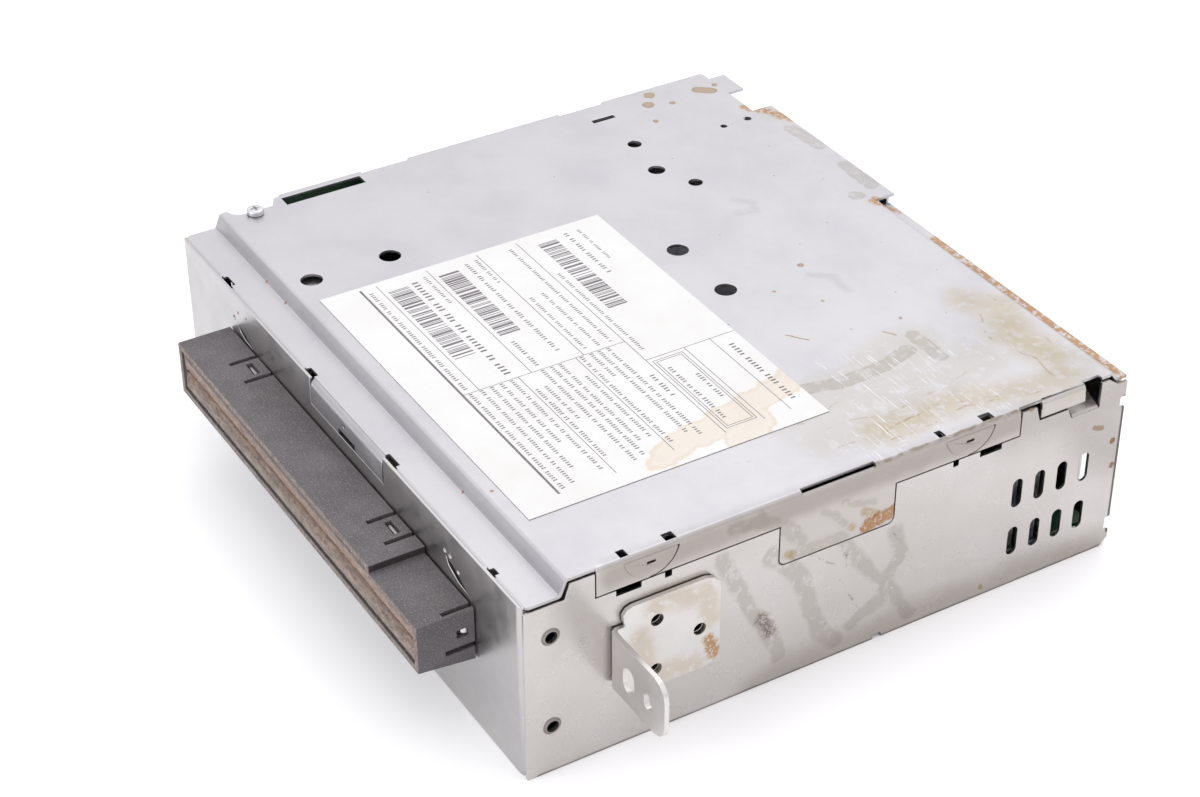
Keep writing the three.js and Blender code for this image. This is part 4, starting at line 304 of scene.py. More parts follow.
# Painted shade: the lowest few millimetres of the side are darkened, standing in for the floor's shadow
# reflected in the steel
painted_low_shade = upright([[(-20, -3), (20, -1), (76, -2)]], SIDE, 8.0)
# Painted shadow: thin dark lines along the side's bottom edge and up near its rear end, standing in for the
# contact shadow and the shaded gap there
painted_edge_shadows = upright([[(-79, 0), (79.5, 0)], [(82, 9), (82, 40)]], SIDE, 0.5)
# Painted shade: a dark line down the rear edge, standing in for the shaded gap between the side and the rear
# panel's flange
painted_rear_gap_shade = upright([[(81.3, 4), (81.3, 44)]], SIDE, 0.45)
# Painted shade: a soft darkening over the side's upper rear, above the vents
painted_rear_shade = upright([[(50, 49), (80, 45)], [(66, 46), (80, 30)]], SIDE, 8.0)
# Painted shade: a grey ring with a darker outline on each collar, standing in for the light and shade on the
# collar's slope
painted_collar_shade = upright([(-75.4, 13.2), (-75.4, 38.2)], SIDE + 0.4, 2.3)
tide_edge = upright([[(2, 30), (1, 22), (6, 12)], [(-8.6, 33), (-1, 27)], [(15, 30), (21, 20)]], SIDE, 0.2)
brown_core = upright([[(-20.9, 20), (-18.6, 15.2)]], SIDE, 1.7)
side_drops = upright([[(73, 37.8), (75.4, 36.9)], (42.6, 2.4), (52.6, 50.4)], SIDE, 0.7)
side_rust = upright([(79.2, 31.8), (80, 24.4)], SIDE, 0.85)
end_rust = upright([[(81.3, 7.4), (81.3, 5.4)]], SIDE, 0.9)
side_stains_and_shade = [
    (painted_low_shade, "#DAD6D2", 0.8, 8.0, (2.5, 12), None, 0.1, 0.0),
    (painted_edge_shadows, "#9A9492", 0.9, 0.5, (0.2, 6), None, 0.3, 0.0),
    (painted_rear_gap_shade, "#6A6462", 0.9, 0.3, (0.1, 6), None, 0.4, 0.0),
    (painted_rear_shade, "#DCD9D9", 0.8, 12.0, (2.5, 12), None, 0.1, 0.0),
    (painted_collar_shade, "#B4B0AD", 0.8, 0.3, (0.1, 6), None, 0.2, 0.8),
    (smears, "#E0DDDA", 0.8, 1.8, (2.2, 8), (2.2, 0.42, 0.25), 0.35, 0.3),
    (tide_edge, "#A9A09A", 0.7, 0.4, (1.6, 5), (1.4, 0.46, 0.0), 0.5, 0.0),
    (brown_core, "#B0A297", 0.9, 2.2, (1.6, 2), (0.6, 0.46, 0.15), 0.75, 0.0),
    (side_drops, "#E2D0B4", 1.0, 0.4, (0.6, 2), None, 0.6, 0.3),
    (side_rust, "#D0A47A", 1.0, 0.4, (0.5, 1.5), (0.7, 0.38, 0.2), 0.8, 0.3),
    (end_rust, "#8E7C6C", 1.0, 0.4, (0.5, 1.5), None, 0.8, 0.0),
]

# Spots on the right bracket and on the front
bracket_film = upright([[(-50, 37), (-38, 36), (-36, 28)], [(-54, 30), (-52, 18), (-40, 16)]], BRACKET, 3.0)
bracket_rust = upright([[(-36.2, 21.5), (-34.2, 16.5)]], BRACKET, 1.5)
bracket_stains = [
    (bracket_film, "#EDE4D6", 0.9, 4.0, (2.4, 6), (3.0, 0.42, 0.2), 0.5, 0.0),
    (bracket_rust, "#D2AC80", 1.0, 1.6, (1.4, 2), (0.6, 0.44, 0.3), 0.8, 0.0),
]
front_rust = [((-54.8, -82, 43), 0.4), ((-49.9, -82, 43.9), 0.4)]
front_stains = [
    (front_rust, "#B5703F", 1.0, 0.3, (0.3, 1), None, 0.8, 0.0),
]

lid_steel = zinc_sheet("zinc_lid", "#C1C0C3", "#BAB9BD", 0.4, lid_stains_and_shade, lid_scuffs, lips="#BFBAB6")
side_steel = zinc_sheet("zinc_side", "#C7C3C0", "#C1BDB9", 0.3, side_stains_and_shade)
sheet_steel = zinc_sheet("zinc_inner", "#C9C8CA", "#BFBEC1", 0.38)
front_steel = zinc_sheet("zinc_front", "#BFBDBC", "#B6B5B6", 0.36, front_stains, buckle=0.08)
bracket_steel = zinc_sheet("zinc_bracket", "#D6D3D1", "#CDCAC8", 0.34, bracket_stains)


# The other finishes

GRAIN = 0.3


def plain(name, colours, rough, size, metallic=0.0, depth=0.004):
    """A surface with clouds of a second tone, a fine grain and a slightly uneven gloss."""
    material, tree, place = start(name)
    clouds = cloud(tree, place, size, 0.35, 0.7)
    colour = grow(tree, MIX, {FACTOR: clouds, UNDER: colours[0], OVER: colours[1]}, **LAYER)
    gloss = cloud(tree, place, size / 3, 0.3, 0.7, to=rough)
    height = grow(tree, NOISE, {"Vector": place, "Scale": 1 / GRAIN, "Detail": 3.0})
    close(tree, height, depth, Base_Color=colour, Roughness=gloss, Metallic=metallic)
    return material


def bezel_plastic():
    """Moulded black ABS with a spark-eroded grain: a dark warm matte, greyed by handling and peppered
    with fine pale dust; a near black painted shadow fills the step near its right end, and road dust
    cakes its front rim."""
    material, tree, place = start("grained_black_abs")
    clouds = cloud(tree, place, 15, 0.35, 0.7)
    colour = grow(tree, MIX, {FACTOR: clouds, UNDER: "#4D494C", OVER: "#5B575A"}, **LAYER)
    haze = cloud(tree, place, 9, 0.45, 0.75, 5.0, (0.0, 0.25))
    colour = grow(tree, MIX, {FACTOR: haze, UNDER: colour, OVER: "#706A69"}, **LAYER)
    dust = cloud(tree, place, 0.35, 0.55, 0.68, 2.0, (0.0, 0.55))
    colour = grow(tree, MIX, {FACTOR: dust, UNDER: colour, OVER: "#9A9391"}, **LAYER)
    # Painted shadow: a near black band down the step near the bezel's right end, where its short upright face
    # lies in shade
    painted_step_shadow = reach(tree, place, [((44.95, -110, 35), (44.95, -82, 35), 0.85)])
    shade = grow(tree, RANGE, {"Value": painted_step_shadow, "From Min": 0.12, "From Max": -0.12, "To Max": 0.85})
    colour = grow(tree, MIX, {FACTOR: shade, UNDER: colour, OVER: "#242122"}, **LAYER)
    depth = grow(tree, SPLIT, {"Vector": place}, take=Y)
    rim = grow(tree, RANGE, {"Value": depth, "From Min": -96.3, "From Max": -96.45, "To Max": 0.75})
    clods = cloud(tree, place, 0.9, 0.4, 0.65, 5.0)
    mud = grow(tree, MIX, {FACTOR: clods, UNDER: "#5C514B", OVER: "#8C7D72"}, **LAYER)
    colour = grow(tree, MIX, {FACTOR: rim, UNDER: colour, OVER: mud}, **LAYER)
    height = grow(tree, NOISE, {"Vector": place, "Scale": 3.0, "Detail": 2.0})
    gloss = cloud(tree, place, 6, 0.3, 0.7, to=(0.5, 0.64))
    close(tree, height, 0.02, Base_Color=colour, Roughness=gloss, IOR=1.53)
    return material


def label_paper():
    """Coated white paper: a flat white with a slight sheen, faint creases and a dried tan spill near
    one end that is darker along its edge."""
    material, tree, place = start("coated_label_paper")
    clouds = cloud(tree, place, 22, 0.35, 0.75)
    colour = grow(tree, MIX, {FACTOR: clouds, UNDER: "#D6D6D5", OVER: "#D1D0CE"}, **LAYER)
    spill = reach(tree, torn(tree, place, 3.6, 6), flat([
        [(50, 14), (53, 4), (57, -8), (60, -24), (63, -31)], [(60, -4), (66, -12)]], 51.7, 4.0))
    body = grow(tree, RANGE, {"Value": spill, "From Min": 0.4, "From Max": -2.0})
    outer = grow(tree, RANGE, {"Value": spill, "From Min": 0.7, "From Max": 0.0})
    inner = grow(tree, RANGE, {"Value": spill, "From Min": -1.4, "From Max": -0.2})
    edge = grow(tree, MATH, {0: outer, 1: inner}, operation="MULTIPLY")
    colour = grow(tree, MIX, {FACTOR: body, UNDER: colour, OVER: "#F8EFE4"}, **SOAK)
    colour = grow(tree, MIX, {FACTOR: edge, UNDER: colour, OVER: "#F6EBDE"}, **SOAK)
    height = cloud(tree, place, 7, 0.2, 0.8, 3.0, (0.0, 0.02))
    gloss = cloud(tree, place, 9, 0.3, 0.7, to=(0.42, 0.5))
    close(tree, height, 1.0, Base_Color=colour, Roughness=gloss)
    return material


def dusty_felt():
    """Needled brown felt full of road dust: no gloss, a soft sheen, long wisps and clots of pale dust,
    a redder ridge where discs rub it, and near black bands towards its top and bottom edges."""
    material, tree, place = start("needled_brown_felt")
    wisps = cloud(tree, place, 0.9, 0.35, 0.7, 5.0, stretch=(0.3, 1, 1))
    colour = grow(tree, MIX, {FACTOR: wisps, UNDER: "#665850", OVER: "#8E7B6F"}, **LAYER)
    height = grow(tree, SPLIT, {"Vector": torn(tree, place, 0.6, 3)}, take=Z)
    off = grow(tree, MATH, {0: height, 1: 29.6}, operation="SUBTRACT")
    off = grow(tree, MATH, {0: off}, operation="ABSOLUTE")
    ridge = grow(tree, RANGE, {"Value": off, "From Min": 2.0, "From Max": 0.6, "To Max": 0.75})
    colour = grow(tree, MIX, {FACTOR: ridge, UNDER: colour, OVER: "#8E6A56"}, **LAYER)
    clot = cloud(tree, place, 2.5, 0.5, 0.72, 5.0, (0.0, 0.5))
    colour = grow(tree, MIX, {FACTOR: clot, UNDER: colour, OVER: "#9C8C80"}, **LAYER)
    grit = cloud(tree, place, 0.7, 0.6, 0.68, 4.0, (0.0, 0.7))
    colour = grow(tree, MIX, {FACTOR: grit, UNDER: colour, OVER: "#332B29"}, **LAYER)
    # The felt is darkened to near black towards its top and bottom edges, along the bezel
    for low, high in ((31.8, 33.6), (24.4, 22.9)):
        edge = grow(tree, RANGE, {"Value": height, "From Min": low, "From Max": high, "To Max": 0.85})
        colour = grow(tree, MIX, {FACTOR: edge, UNDER: colour, OVER: "#3B3433"}, **LAYER)
    fuzz = grow(tree, NOISE, {"Vector": place, "Scale": 2.0, "Detail": 4.0, "Roughness": 0.7})
    close(tree, fuzz, 0.12, Base_Color=colour, Roughness=0.95, Specular_IOR_Level=0.15, Sheen_Weight=0.25,
          Sheen_Roughness=0.6)
    return material


black_abs = bezel_plastic()
brown_felt = dusty_felt()
paper = label_paper()
# Offset ink on coated paper: a soft grey that never quite covers the white
ink = plain("printed_grey_ink", ("#605B60", "#6F6A6F"), (0.4, 0.5), 3, 0.0, 0.002)

# Pressed steel, nickel plated in a barrel: bright, with slightly clouded reflections
bright_steel = plain("nickel_plated_steel", ("#DADADC", "#C9C9CC"), (0.16, 0.26), 4, 1.0)

# Ground bar for rods and screws: a little duller than the plating
turned_steel = plain("turned_bright_steel", ("#D2D2D4", "#C0C0C4"), (0.2, 0.32), 3, 1.0)

# Glass-fibre board under green solder mask: dark green with a soft gloss
board = plain("solder_masked_board", ("#2C5A40", "#234A35"), (0.3, 0.45), 2.5, 0.0, 0.02)

# Aluminium pushed through a die: grey and satin
extruded = plain("extruded_aluminium", ("#B9BBBF", "#AAACB1"), (0.38, 0.5), 6, 1.0, 0.01)

# Filled epoxy from a heated mould: near black and matt
epoxy = plain("moulded_epoxy", ("#232325", "#2C2C2E"), (0.5, 0.65), 3, 0.0, 0.01)

# Injection-moulded acetal: a milky white with a waxy gloss
acetal = plain("moulded_white_acetal", ("#E5E2D9", "#DAD6CB"), (0.42, 0.55), 6, 0.0, 0.006)

# Pressed nitrile rubber: black with hardly any gloss
rubber = plain("nitrile_rubber", ("#1F1F20", "#292829"), (0.75, 0.9), 3, 0.0, 0.02)

# Moulded glass with a bluish coating against reflections: smooth and shiny
glass = plain("coated_lens_glass", ("#7F9DB6", "#8AA6B4"), (0.04, 0.08), 2, 0.0, 0.001)

# Drawn and stamped brass: a warm yellow metal
brass = plain("stamped_brass", ("#C8A45A", "#B8934C"), (0.28, 0.4), 2, 1.0)

# Copper tracks between two polyimide films: amber with a soft gloss
film = plain("polyimide_film", ("#B0763A", "#9F682F"), (0.3, 0.42), 5, 0.0, 0.01)

slot_finish = {
    "zinc_sheet": sheet_steel, "bright_steel": bright_steel, "black_plastic": black_abs, "paper": paper,
    "green_board": board, "aluminium": extruded, "dark_epoxy": epoxy, "white_plastic": acetal,
    "black_rubber": rubber, "lens_glass": glass, "brass": brass, "amber_film": film,
}
node_finish = {
    "top_lid": lid_steel, "side_panel_right": side_steel, "front_panel": front_steel,
    "bracket_right": bracket_steel, "bracket_left": bracket_steel, "side_panel_left": side_steel,
    "lead_screw": turned_steel, "guide_rod": turned_steel,
}


# Edges of the CAD nodes

FOLD = math.radians(35)
FLAT = math.radians(0.4)
EDGE = 0.1


def soft_edge_tree():
    """Welds a node's loose triangles and shades it smooth but for its folds, which turn by more than
    FOLD."""
    tree = bpy.data.node_groups.new("weld_and_shade", "GeometryNodeTree")
    tree.interface.new_socket("Geometry", in_out="INPUT", socket_type="NodeSocketGeometry")
    tree.interface.new_socket("Geometry", in_out="OUTPUT", socket_type="NodeSocketGeometry")
    source = grow(tree, "NodeGroupInput")
    welded = grow(tree, "GeometryNodeMergeByDistance", {"Geometry": source, "Distance": 0.00001})
    bare = grow(tree, "GeometryNodeRemoveAttribute", {"Geometry": welded, "Name": "custom_normal"})
    smooth = grow(tree, "GeometryNodeSetShadeSmooth", {"Geometry": bare, "Shade Smooth": True})
    angle = grow(tree, "GeometryNodeInputMeshEdgeAngle")
    fold = grow(tree, "FunctionNodeCompare", {0: angle, 1: FOLD}, operation="GREATER_THAN")
    creased = grow(tree, "GeometryNodeSetShadeSmooth", {
        "Geometry": smooth, "Selection": fold, "Shade Smooth": False}, domain="EDGE")
    grow(tree, "NodeGroupOutput", {0: creased})
    return tree


soft_edges = soft_edge_tree()


def soften(piece, width):
    """Rounds a node's edges by a width in millimetres, as pressing, moulding or wear does, after the
    triangles of each flat face are joined into one."""
    weld = piece.modifiers.new("weld_and_shade", "NODES")
    weld.node_group = soft_edges
    flats = piece.modifiers.new("join_flats", "DECIMATE")
    flats.decimate_type = "DISSOLVE"
    flats.angle_limit = FLAT
    bevel = piece.modifiers.new("soft_edges", "BEVEL")
    bevel.width = width * MM
    bevel.segments = 2
    bevel.limit_method = "ANGLE"
    bevel.angle_limit = FOLD
    bevel.use_clamp_overlap = False
    even = piece.modifiers.new("even_shade", "WEIGHTED_NORMAL")
    even.keep_sharp = True


slots = {part["node"]: part["material_slot"] for part in frame["record"]["subparts"]}
for name, piece in nodes.items():
    finish = node_finish.get(name) or slot_finish.get(slots[name], sheet_steel)
    for slot in piece.material_slots:
        slot.material = finish
    soften(piece, EDGE)


# New pieces: surfaces worked out on grids

def mesh_piece(name, points, faces, finish):
    """A smooth-shaded piece made of points in metres and of faces given by their numbers."""
    mesh = bpy.data.meshes.new(name)
    mesh.from_pydata(points.reshape(-1, 3).tolist(), [], faces.tolist())
    mesh.polygons.foreach_set("use_smooth", np.ones(len(faces), bool))
    mesh.materials.append(finish)
    mesh.validate()
    piece = bpy.data.objects.new(name, mesh)
    bpy.context.collection.objects.link(piece)
    return piece


def lattice(rows, columns, wrap=False):
    """Quads between the points of a rows by columns grid; wrap joins the last column to the first."""
    across = columns if wrap else columns - 1
    i, j = np.meshgrid(np.arange(rows - 1), np.arange(across), indexing="ij")
    here = i * columns + j
    beside = i * columns + (j + 1) % columns
    return np.stack([here, beside, beside + columns, here + columns], axis=-1).reshape(-1, 4)


def waves(x, z, seed, sizes, height):
    """Soft lumps: four sines of random direction and phase for each length in sizes, in millimetres."""
    chance = np.random.default_rng(seed)
    total = np.zeros(np.broadcast(x, z).shape)
    for size in sizes:
        for _ in range(4):
            angle, phase = chance.uniform(0, 2 * np.pi, 2)
            total += np.sin(2 * np.pi * (x * np.cos(angle) + z * np.sin(angle)) / size + phase)
    return height * total / (4 * len(sizes))


# The felt's front and back planes, the height of the mouth between the lips and half of its opening
FELT_FACE = -96.1
FELT_BACK = -94.6
MOUTH = 28.2
HALF_SLIT = 0.16

# How far the front and the back turn in at the mouth, and the length over which a lip's ends thin
FACE_IN = 0.75
BACK_IN = 0.1
TAPER = 0.5

# The loose fibres: how many, how far from the ends, how deep their roots lie behind the face and how
# far they may stick out of it, half their width and their depth
FIBRES = 9000
INSET = 0.4
ROOT = 0.2
STICK_OUT = 0.35
HALF_BLADE = 0.035
BLADE_DEEP = 0.05

# Points along a lip and round its section
ALONG = 260
ROUND = 56


def felt_lip(name, left, right, bottom, top, mouth_at_top, seed):
    """A strip of felt carried along x. Its section is a closed loop: a superellipse
    |y|^3 + |z|^3 = 1 stretched to the strip's depth and height, whose mouth edge thins and turns in,
    with soft lumps on its face. bottom and top are functions of x."""
    x = np.linspace(left, right, ALONG)[:, None]
    turn = np.linspace(0, 2 * np.pi, ROUND, endpoint=False)[None, :]
    cy = np.sign(np.cos(turn)) * np.abs(np.cos(turn)) ** (2 / 3)
    cz = np.sign(np.sin(turn)) * np.abs(np.sin(turn)) ** (2 / 3)
    low, high = bottom(x), top(x)
    z = (low + high) / 2 + cz * (high - low) / 2
    share = (cz if mouth_at_top else -cz) * 0.5 + 0.5
    face = FELT_FACE + FACE_IN * share ** 3
    back = FELT_BACK + BACK_IN * share ** 3
    y = (face + back) / 2 + cy * (back - face) / 2 + 0 * x
    y = y + np.where(cy < 0, waves(x, z, seed, (1.3, 2.9, 7.0), 0.16), 0)
    ends = np.clip(np.minimum(x - left, right - x) / TAPER, 0.3, 1)
    points = np.stack(np.broadcast_arrays(x, face.mean() + (y - face.mean()) * ends, z), axis=-1) * MM
    caps = np.arange(ROUND)
    piece = mesh_piece(name, points, lattice(ALONG, ROUND, wrap=True), brown_felt)
    edit = bmesh.new()
    edit.from_mesh(piece.data)
    edit.verts.ensure_lookup_table()
    edit.faces.new([edit.verts[i] for i in caps[::-1]])
    edit.faces.new([edit.verts[(ALONG - 1) * ROUND + i] for i in caps])
    bmesh.ops.recalc_face_normals(edit, faces=edit.faces)
    edit.to_mesh(piece.data)
    edit.free()
    return piece


def felt_pile(name, left, right, low, high, count, seed):
    """Loose fibres on the felt's face: thin three-sided blades 0.3 to 0.8 mm long that lean at random
    and sink in at the mouth as exp(-u^2), u being the height from it over 0.5 mm. None sticks out past
    the bezel's rim."""
    chance = np.random.default_rng(seed)
    x = chance.uniform(left, right, count)
    z = low(x) + (high(x) - low(x)) * chance.uniform(0.03, 0.97, count)
    y = FELT_FACE + ROOT + 0.5 * np.exp(-((z - MOUTH) / 0.5) ** 2)
    root = np.stack([x, y, z], axis=1)
    sideways = chance.normal(0, 1, count)
    outwards = -np.abs(chance.normal(0.5, 0.3, count))
    lean = np.stack([sideways, outwards, chance.normal(0, 0.8, count)], axis=1)
    lean *= (chance.uniform(0.3, 0.8, count) / np.linalg.norm(lean, axis=1))[:, None]
    lean[:, 1] = np.maximum(lean[:, 1], FELT_FACE - STICK_OUT - root[:, 1])
    wide = np.stack([chance.normal(0, 1, count), np.zeros(count), chance.normal(0, 1, count)], axis=1)
    wide *= (HALF_BLADE / np.linalg.norm(wide, axis=1))[:, None]
    deep = np.stack([np.zeros(count), np.full(count, BLADE_DEEP), np.zeros(count)], axis=1)
    points = np.stack([root - wide, root + wide, root + deep, root + lean], axis=1) * MM
    first = 4 * np.arange(count)[:, None]
    faces = (first[:, :, None] + np.array([[0, 2, 1], [0, 1, 3], [1, 2, 3], [2, 0, 3]])).reshape(-1, 3)
    return mesh_piece(name, points, faces, brown_felt)


def close_poles(piece):
    """Merges the points that meet at a pole, fills what is still open and turns the faces outwards."""
    edit = bmesh.new()
    edit.from_mesh(piece.data)
    bmesh.ops.remove_doubles(edit, verts=edit.verts, dist=1e-7)
    bmesh.ops.holes_fill(edit, edges=[e for e in edit.edges if e.is_boundary])
    bmesh.ops.recalc_face_normals(edit, faces=edit.faces)
    edit.to_mesh(piece.data)
    edit.free()


def turned(name, centre, profile, sides, finish, carve=None):
    """A profile of (radius, height) turned about an upright axis; carve lowers it by a depth that
    depends on x and y."""
    profile = np.array(profile, float)
    turn = np.linspace(0, 2 * np.pi, sides, endpoint=False)[None, :]
    x = profile[:, :1] * np.cos(turn)
    y = profile[:, :1] * np.sin(turn)
    z = profile[:, 1:] + 0 * turn
    if carve:
        z = z - carve(x, y, z)
    points = np.stack([x + centre[0], y + centre[1], z + centre[2]], axis=-1) * MM
    piece = mesh_piece(name, points, lattice(len(profile), sides, wrap=True), finish)
    close_poles(piece)
    return piece


def upper_edge(x):
    """The felt's top follows the bezel's step down near its right end."""
    return 34.2 - 2.0 / (1 + np.exp(-(x - 44.9) / 0.12))


def mouth(x, side):
    """The slit between the lips wanders a little along its length."""
    return MOUTH + side * HALF_SLIT + waves(x, 0 * x, 5, (9.0, 23.0), 0.1)


def lower_edge(x):
    """The felt's bottom is straight."""
    return low_lo[2] + 0 * x


lip_lo, lip_hi = (corner / MM for corner in map(np.array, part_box("dust_lip_upper")))
low_lo = np.array(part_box("dust_lip_lower")[0]) / MM
upper_felt = felt_lip(
    "felt_lip_upper", lip_lo[0], lip_hi[0], lambda x: mouth(x, 1), upper_edge, False, 11)
lower_felt = felt_lip(
    "felt_lip_lower", lip_lo[0], lip_hi[0], lower_edge, lambda x: mouth(x, -1), True, 12)
pile = felt_pile(
    "felt_pile", lip_lo[0] + INSET, lip_hi[0] - INSET, lower_edge, upper_edge, FIBRES, 13)
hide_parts("dust_lip_upper")
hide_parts("dust_lip_lower")
for piece in (upper_felt, lower_felt, pile):
    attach(piece, "case")


def cross_recess(x, y, z):
    """A cross whose arms are 0.6 mm wide and 2.7 mm long, with sloping walls and a floor 0.85 mm down."""
    def arm(u, v):
        return np.clip((0.34 - np.abs(u)) / 0.08, 0, 1) * np.clip((1.35 - np.abs(v)) / 0.25, 0, 1)
    return 0.85 * np.maximum(arm(x, y), arm(y, x)) * (z > 0.9)


# The screw's sizes: the radius and the height of its domed top, the rounding of its rim, the radius of
# its shank, and how far below the plain screw's top its head is seated
DOME = 1.6
DOME_TOP = 1.62
RIM = 0.65
SHANK = 1.3
SEAT_DEPTH = 1.7

# Its profile: a slightly domed top, a rounded rim, the underside and the shank
head = [(r, DOME_TOP - 0.1 * (r / DOME) ** 2) for r in np.linspace(0, DOME, 40)]
head += [(DOME + RIM * math.sin(a), 0.92 + 0.6 * math.cos(a)) for a in np.linspace(0.1, math.pi / 2, 12)]
head += [(2.25, 0.1), (2.1, 0.0), (SHANK, 0.0), (SHANK, -4.6), (0.0, -5.0)]
screw_lo, screw_hi = (np.array(corner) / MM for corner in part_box("lid_screw"))
seat = (*((screw_lo + screw_hi) / 2)[:2], screw_hi[2] - SEAT_DEPTH)
screw = turned("lid_screw_turned", seat, head, 96, bright_steel, cross_recess)
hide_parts("lid_screw")
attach(screw, "case")


BEAD_ALONG = 60
BEAD_ROUND = 12


def edge_bead(name, spans, y, z, radius, finish):
    """A burnished bead along the strip's front edge: for each span a tube along x whose radius falls to
    nothing at both ends as the root of 1 - u^24, u running from -1 to 1."""
    parts, faces = [], []
    turn = np.linspace(0, 2 * np.pi, BEAD_ROUND, endpoint=False)[None, :]
    for i, (x0, x1) in enumerate(spans):
        u = np.linspace(-1, 1, BEAD_ALONG)[:, None]
        r = radius * np.sqrt(1 - u ** 24)
        x = (x0 + x1) / 2 + u * (x1 - x0) / 2 + 0 * turn
        parts.append(np.stack([x, y + r * np.cos(turn), z + r * np.sin(turn)], axis=-1).reshape(-1, 3))
        faces.append(lattice(BEAD_ALONG, BEAD_ROUND, wrap=True) + i * BEAD_ALONG * BEAD_ROUND)
    piece = mesh_piece(name, np.concatenate(parts) * MM, np.concatenate(faces), finish)
    close_poles(piece)
    return piece


bead = edge_bead("strip_edge_bead", [(-88.2, -65.6), (-59.7, -17.2), (29.6, 72.4), (75.6, 88.0)],
                 -81.05, 47.4, 0.34, lid_steel)
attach(bead, "case")


HOOK_POINTS = 14
HOOK_BOW = 0.4
HOOK_SHEET = 0.3


def end_hook(name, y0, y1, z0, z1, x, finish):
    """The sheet hook behind the bezel's end window: a tongue whose face bows inwards by HOOK_BOW v^2,
    v running from 0 to 1 towards the front, and which is HOOK_SHEET thick."""
    steps = np.linspace(0, 1, HOOK_POINTS)
    v, w = np.meshgrid(steps, steps, indexing="ij")
    points = np.stack([x - HOOK_BOW * v ** 2, y1 + (y0 - y1) * v, z0 + (z1 - z0) * w], axis=-1) * MM
    piece = mesh_piece(name, points, lattice(HOOK_POINTS, HOOK_POINTS), finish)
    sheet = piece.modifiers.new("sheet", "SOLIDIFY")
    sheet.thickness = HOOK_SHEET * MM
    sheet.offset = -1
    return piece


hook = end_hook("bezel_end_hook", -85.4, -83.9, 27.4, 29.0, 67.0, bright_steel)
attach(hook, "case")


def printed(name, blocks, height, finish):
    """Flat ink on the label: each block is a rectangle (x0, x1, y0, y1) in millimetres."""
    x0, x1, y0, y1 = np.array(blocks, float).T
    corners = [(x0, y0), (x1, y0), (x1, y1), (x0, y1)]
    points = np.stack([np.stack([x, y, np.full(len(x), height)], axis=-1) for x, y in corners], axis=1) * MM
    return mesh_piece(name, points, np.arange(4 * len(x0)).reshape(-1, 4), finish)


def bars(x0, x1, y0, y1, chance):
    """Upright bars of one, two or three widths side by side, as in any code of stripes."""
    edges = x0 + np.cumsum(chance.choice([0.28, 0.28, 0.56, 0.84], 400))
    edges = edges[edges < x1]
    return [(a, b, y0, y1) for a, b in zip(edges[0::2], edges[1::2])]


def dashes(x0, x1, y, tall, chance):
    """A row of small print drawn as plain dashes grouped like words."""
    row, x = [], x0
    while x < x1:
        for _ in range(int(chance.integers(2, 9))):
            if x + tall * 0.5 < x1:
                row.append((x, x + tall * 0.33, y - tall / 2, y + tall / 2 * chance.uniform(0.5, 1.0)))
            x += tall * 0.8
        x += tall * 0.7
    return row


# Half the width of a ruled line, and how far the ink stands off the paper
HALF_RULE = 0.09
INK = 0.01

# The print's rules, stripes and rows, from the label's front left corner
label_lo, label_hi = (np.array(corner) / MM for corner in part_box("rating_label"))
chance = np.random.default_rng(3)
rules = [(1.5, 98.9, 10.0, 10.6)]
rules += [(a, b, y - HALF_RULE, y + HALF_RULE) for a, b, y in (
    (1.5, 54.4, 14.7), (1.5, 54.4, 28.7), (1.5, 54.4, 42.9), (1.5, 98.5, 54.2), (54.5, 98, 40.6),
    (54.5, 98.7, 25), (64, 98.5, 72.1), (64, 98.5, 64.8), (65.3, 97.1, 63.5), (65.3, 97.1, 55.3),
    (66, 96.4, 62.8), (66, 96.4, 56))]
rules += [(x - HALF_RULE, x + HALF_RULE, a, b) for x, a, b in (
    (54.5, 10.6, 54.2), (64, 54.2, 79), (65.3, 55.3, 63.5), (97.1, 55.3, 63.5), (66, 56, 62.8),
    (96.4, 56, 62.8))]
for block in ((4.4, 40.3, 58.5, 63.9), (5.1, 37.5, 30, 35.6), (5.1, 40.9, 15.9, 21.5)):
    rules += bars(*block, chance)
for a, b, y, tall in (
        (4, 20, 71, 0.9), (4, 26, 67.4, 1.3), (19.8, 60, 56.2, 1.0), (3.6, 53, 51.5, 1.0),
        (25.7, 53, 48.2, 1.0), (26, 53, 44.7, 1.0), (3.6, 16.6, 41.6, 1.0), (4, 49.8, 38.7, 1.2),
        (40.7, 53.6, 31.4, 1.2), (4, 18.5, 26.9, 1.0), (5, 53, 23.6, 1.8), (4, 53.5, 12.1, 1.1),
        (68.5, 95.7, 75.3, 1.5), (75, 86.2, 61.6, 1.2), (69.4, 94.4, 57.4, 1.2),
        (70, 80.3, 52.1, 1.3), (54.9, 96.6, 49.2, 1.1), (54.9, 94, 46.8, 1.1), (54.9, 66.6, 44.6, 1.1),
        (54.9, 96, 41.9, 1.1), (62.5, 91.6, 38.9, 1.1), (54.9, 91.2, 36.1, 1.1), (54.9, 96.6, 33.9, 1.1),
        (54.9, 97.5, 31.3, 1.1), (61.2, 78, 28.7, 1.1), (61.2, 92.5, 26.3, 1.1), (54.9, 96.6, 23, 1.1),
        (54.9, 82.5, 20.3, 1.1), (54.9, 92.5, 17.7, 1.1), (54.9, 98, 15, 1.1), (54.9, 98, 12.1, 1.1)):
    rules += dashes(a, b, y, tall, chance)
rules = np.array(rules) + np.array([label_lo[0], label_lo[0], label_lo[1], label_lo[1]])
label_print = printed("label_print", rules, label_hi[2] + INK, ink)
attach(label_print, "case")


# Camera at the photograph's angle

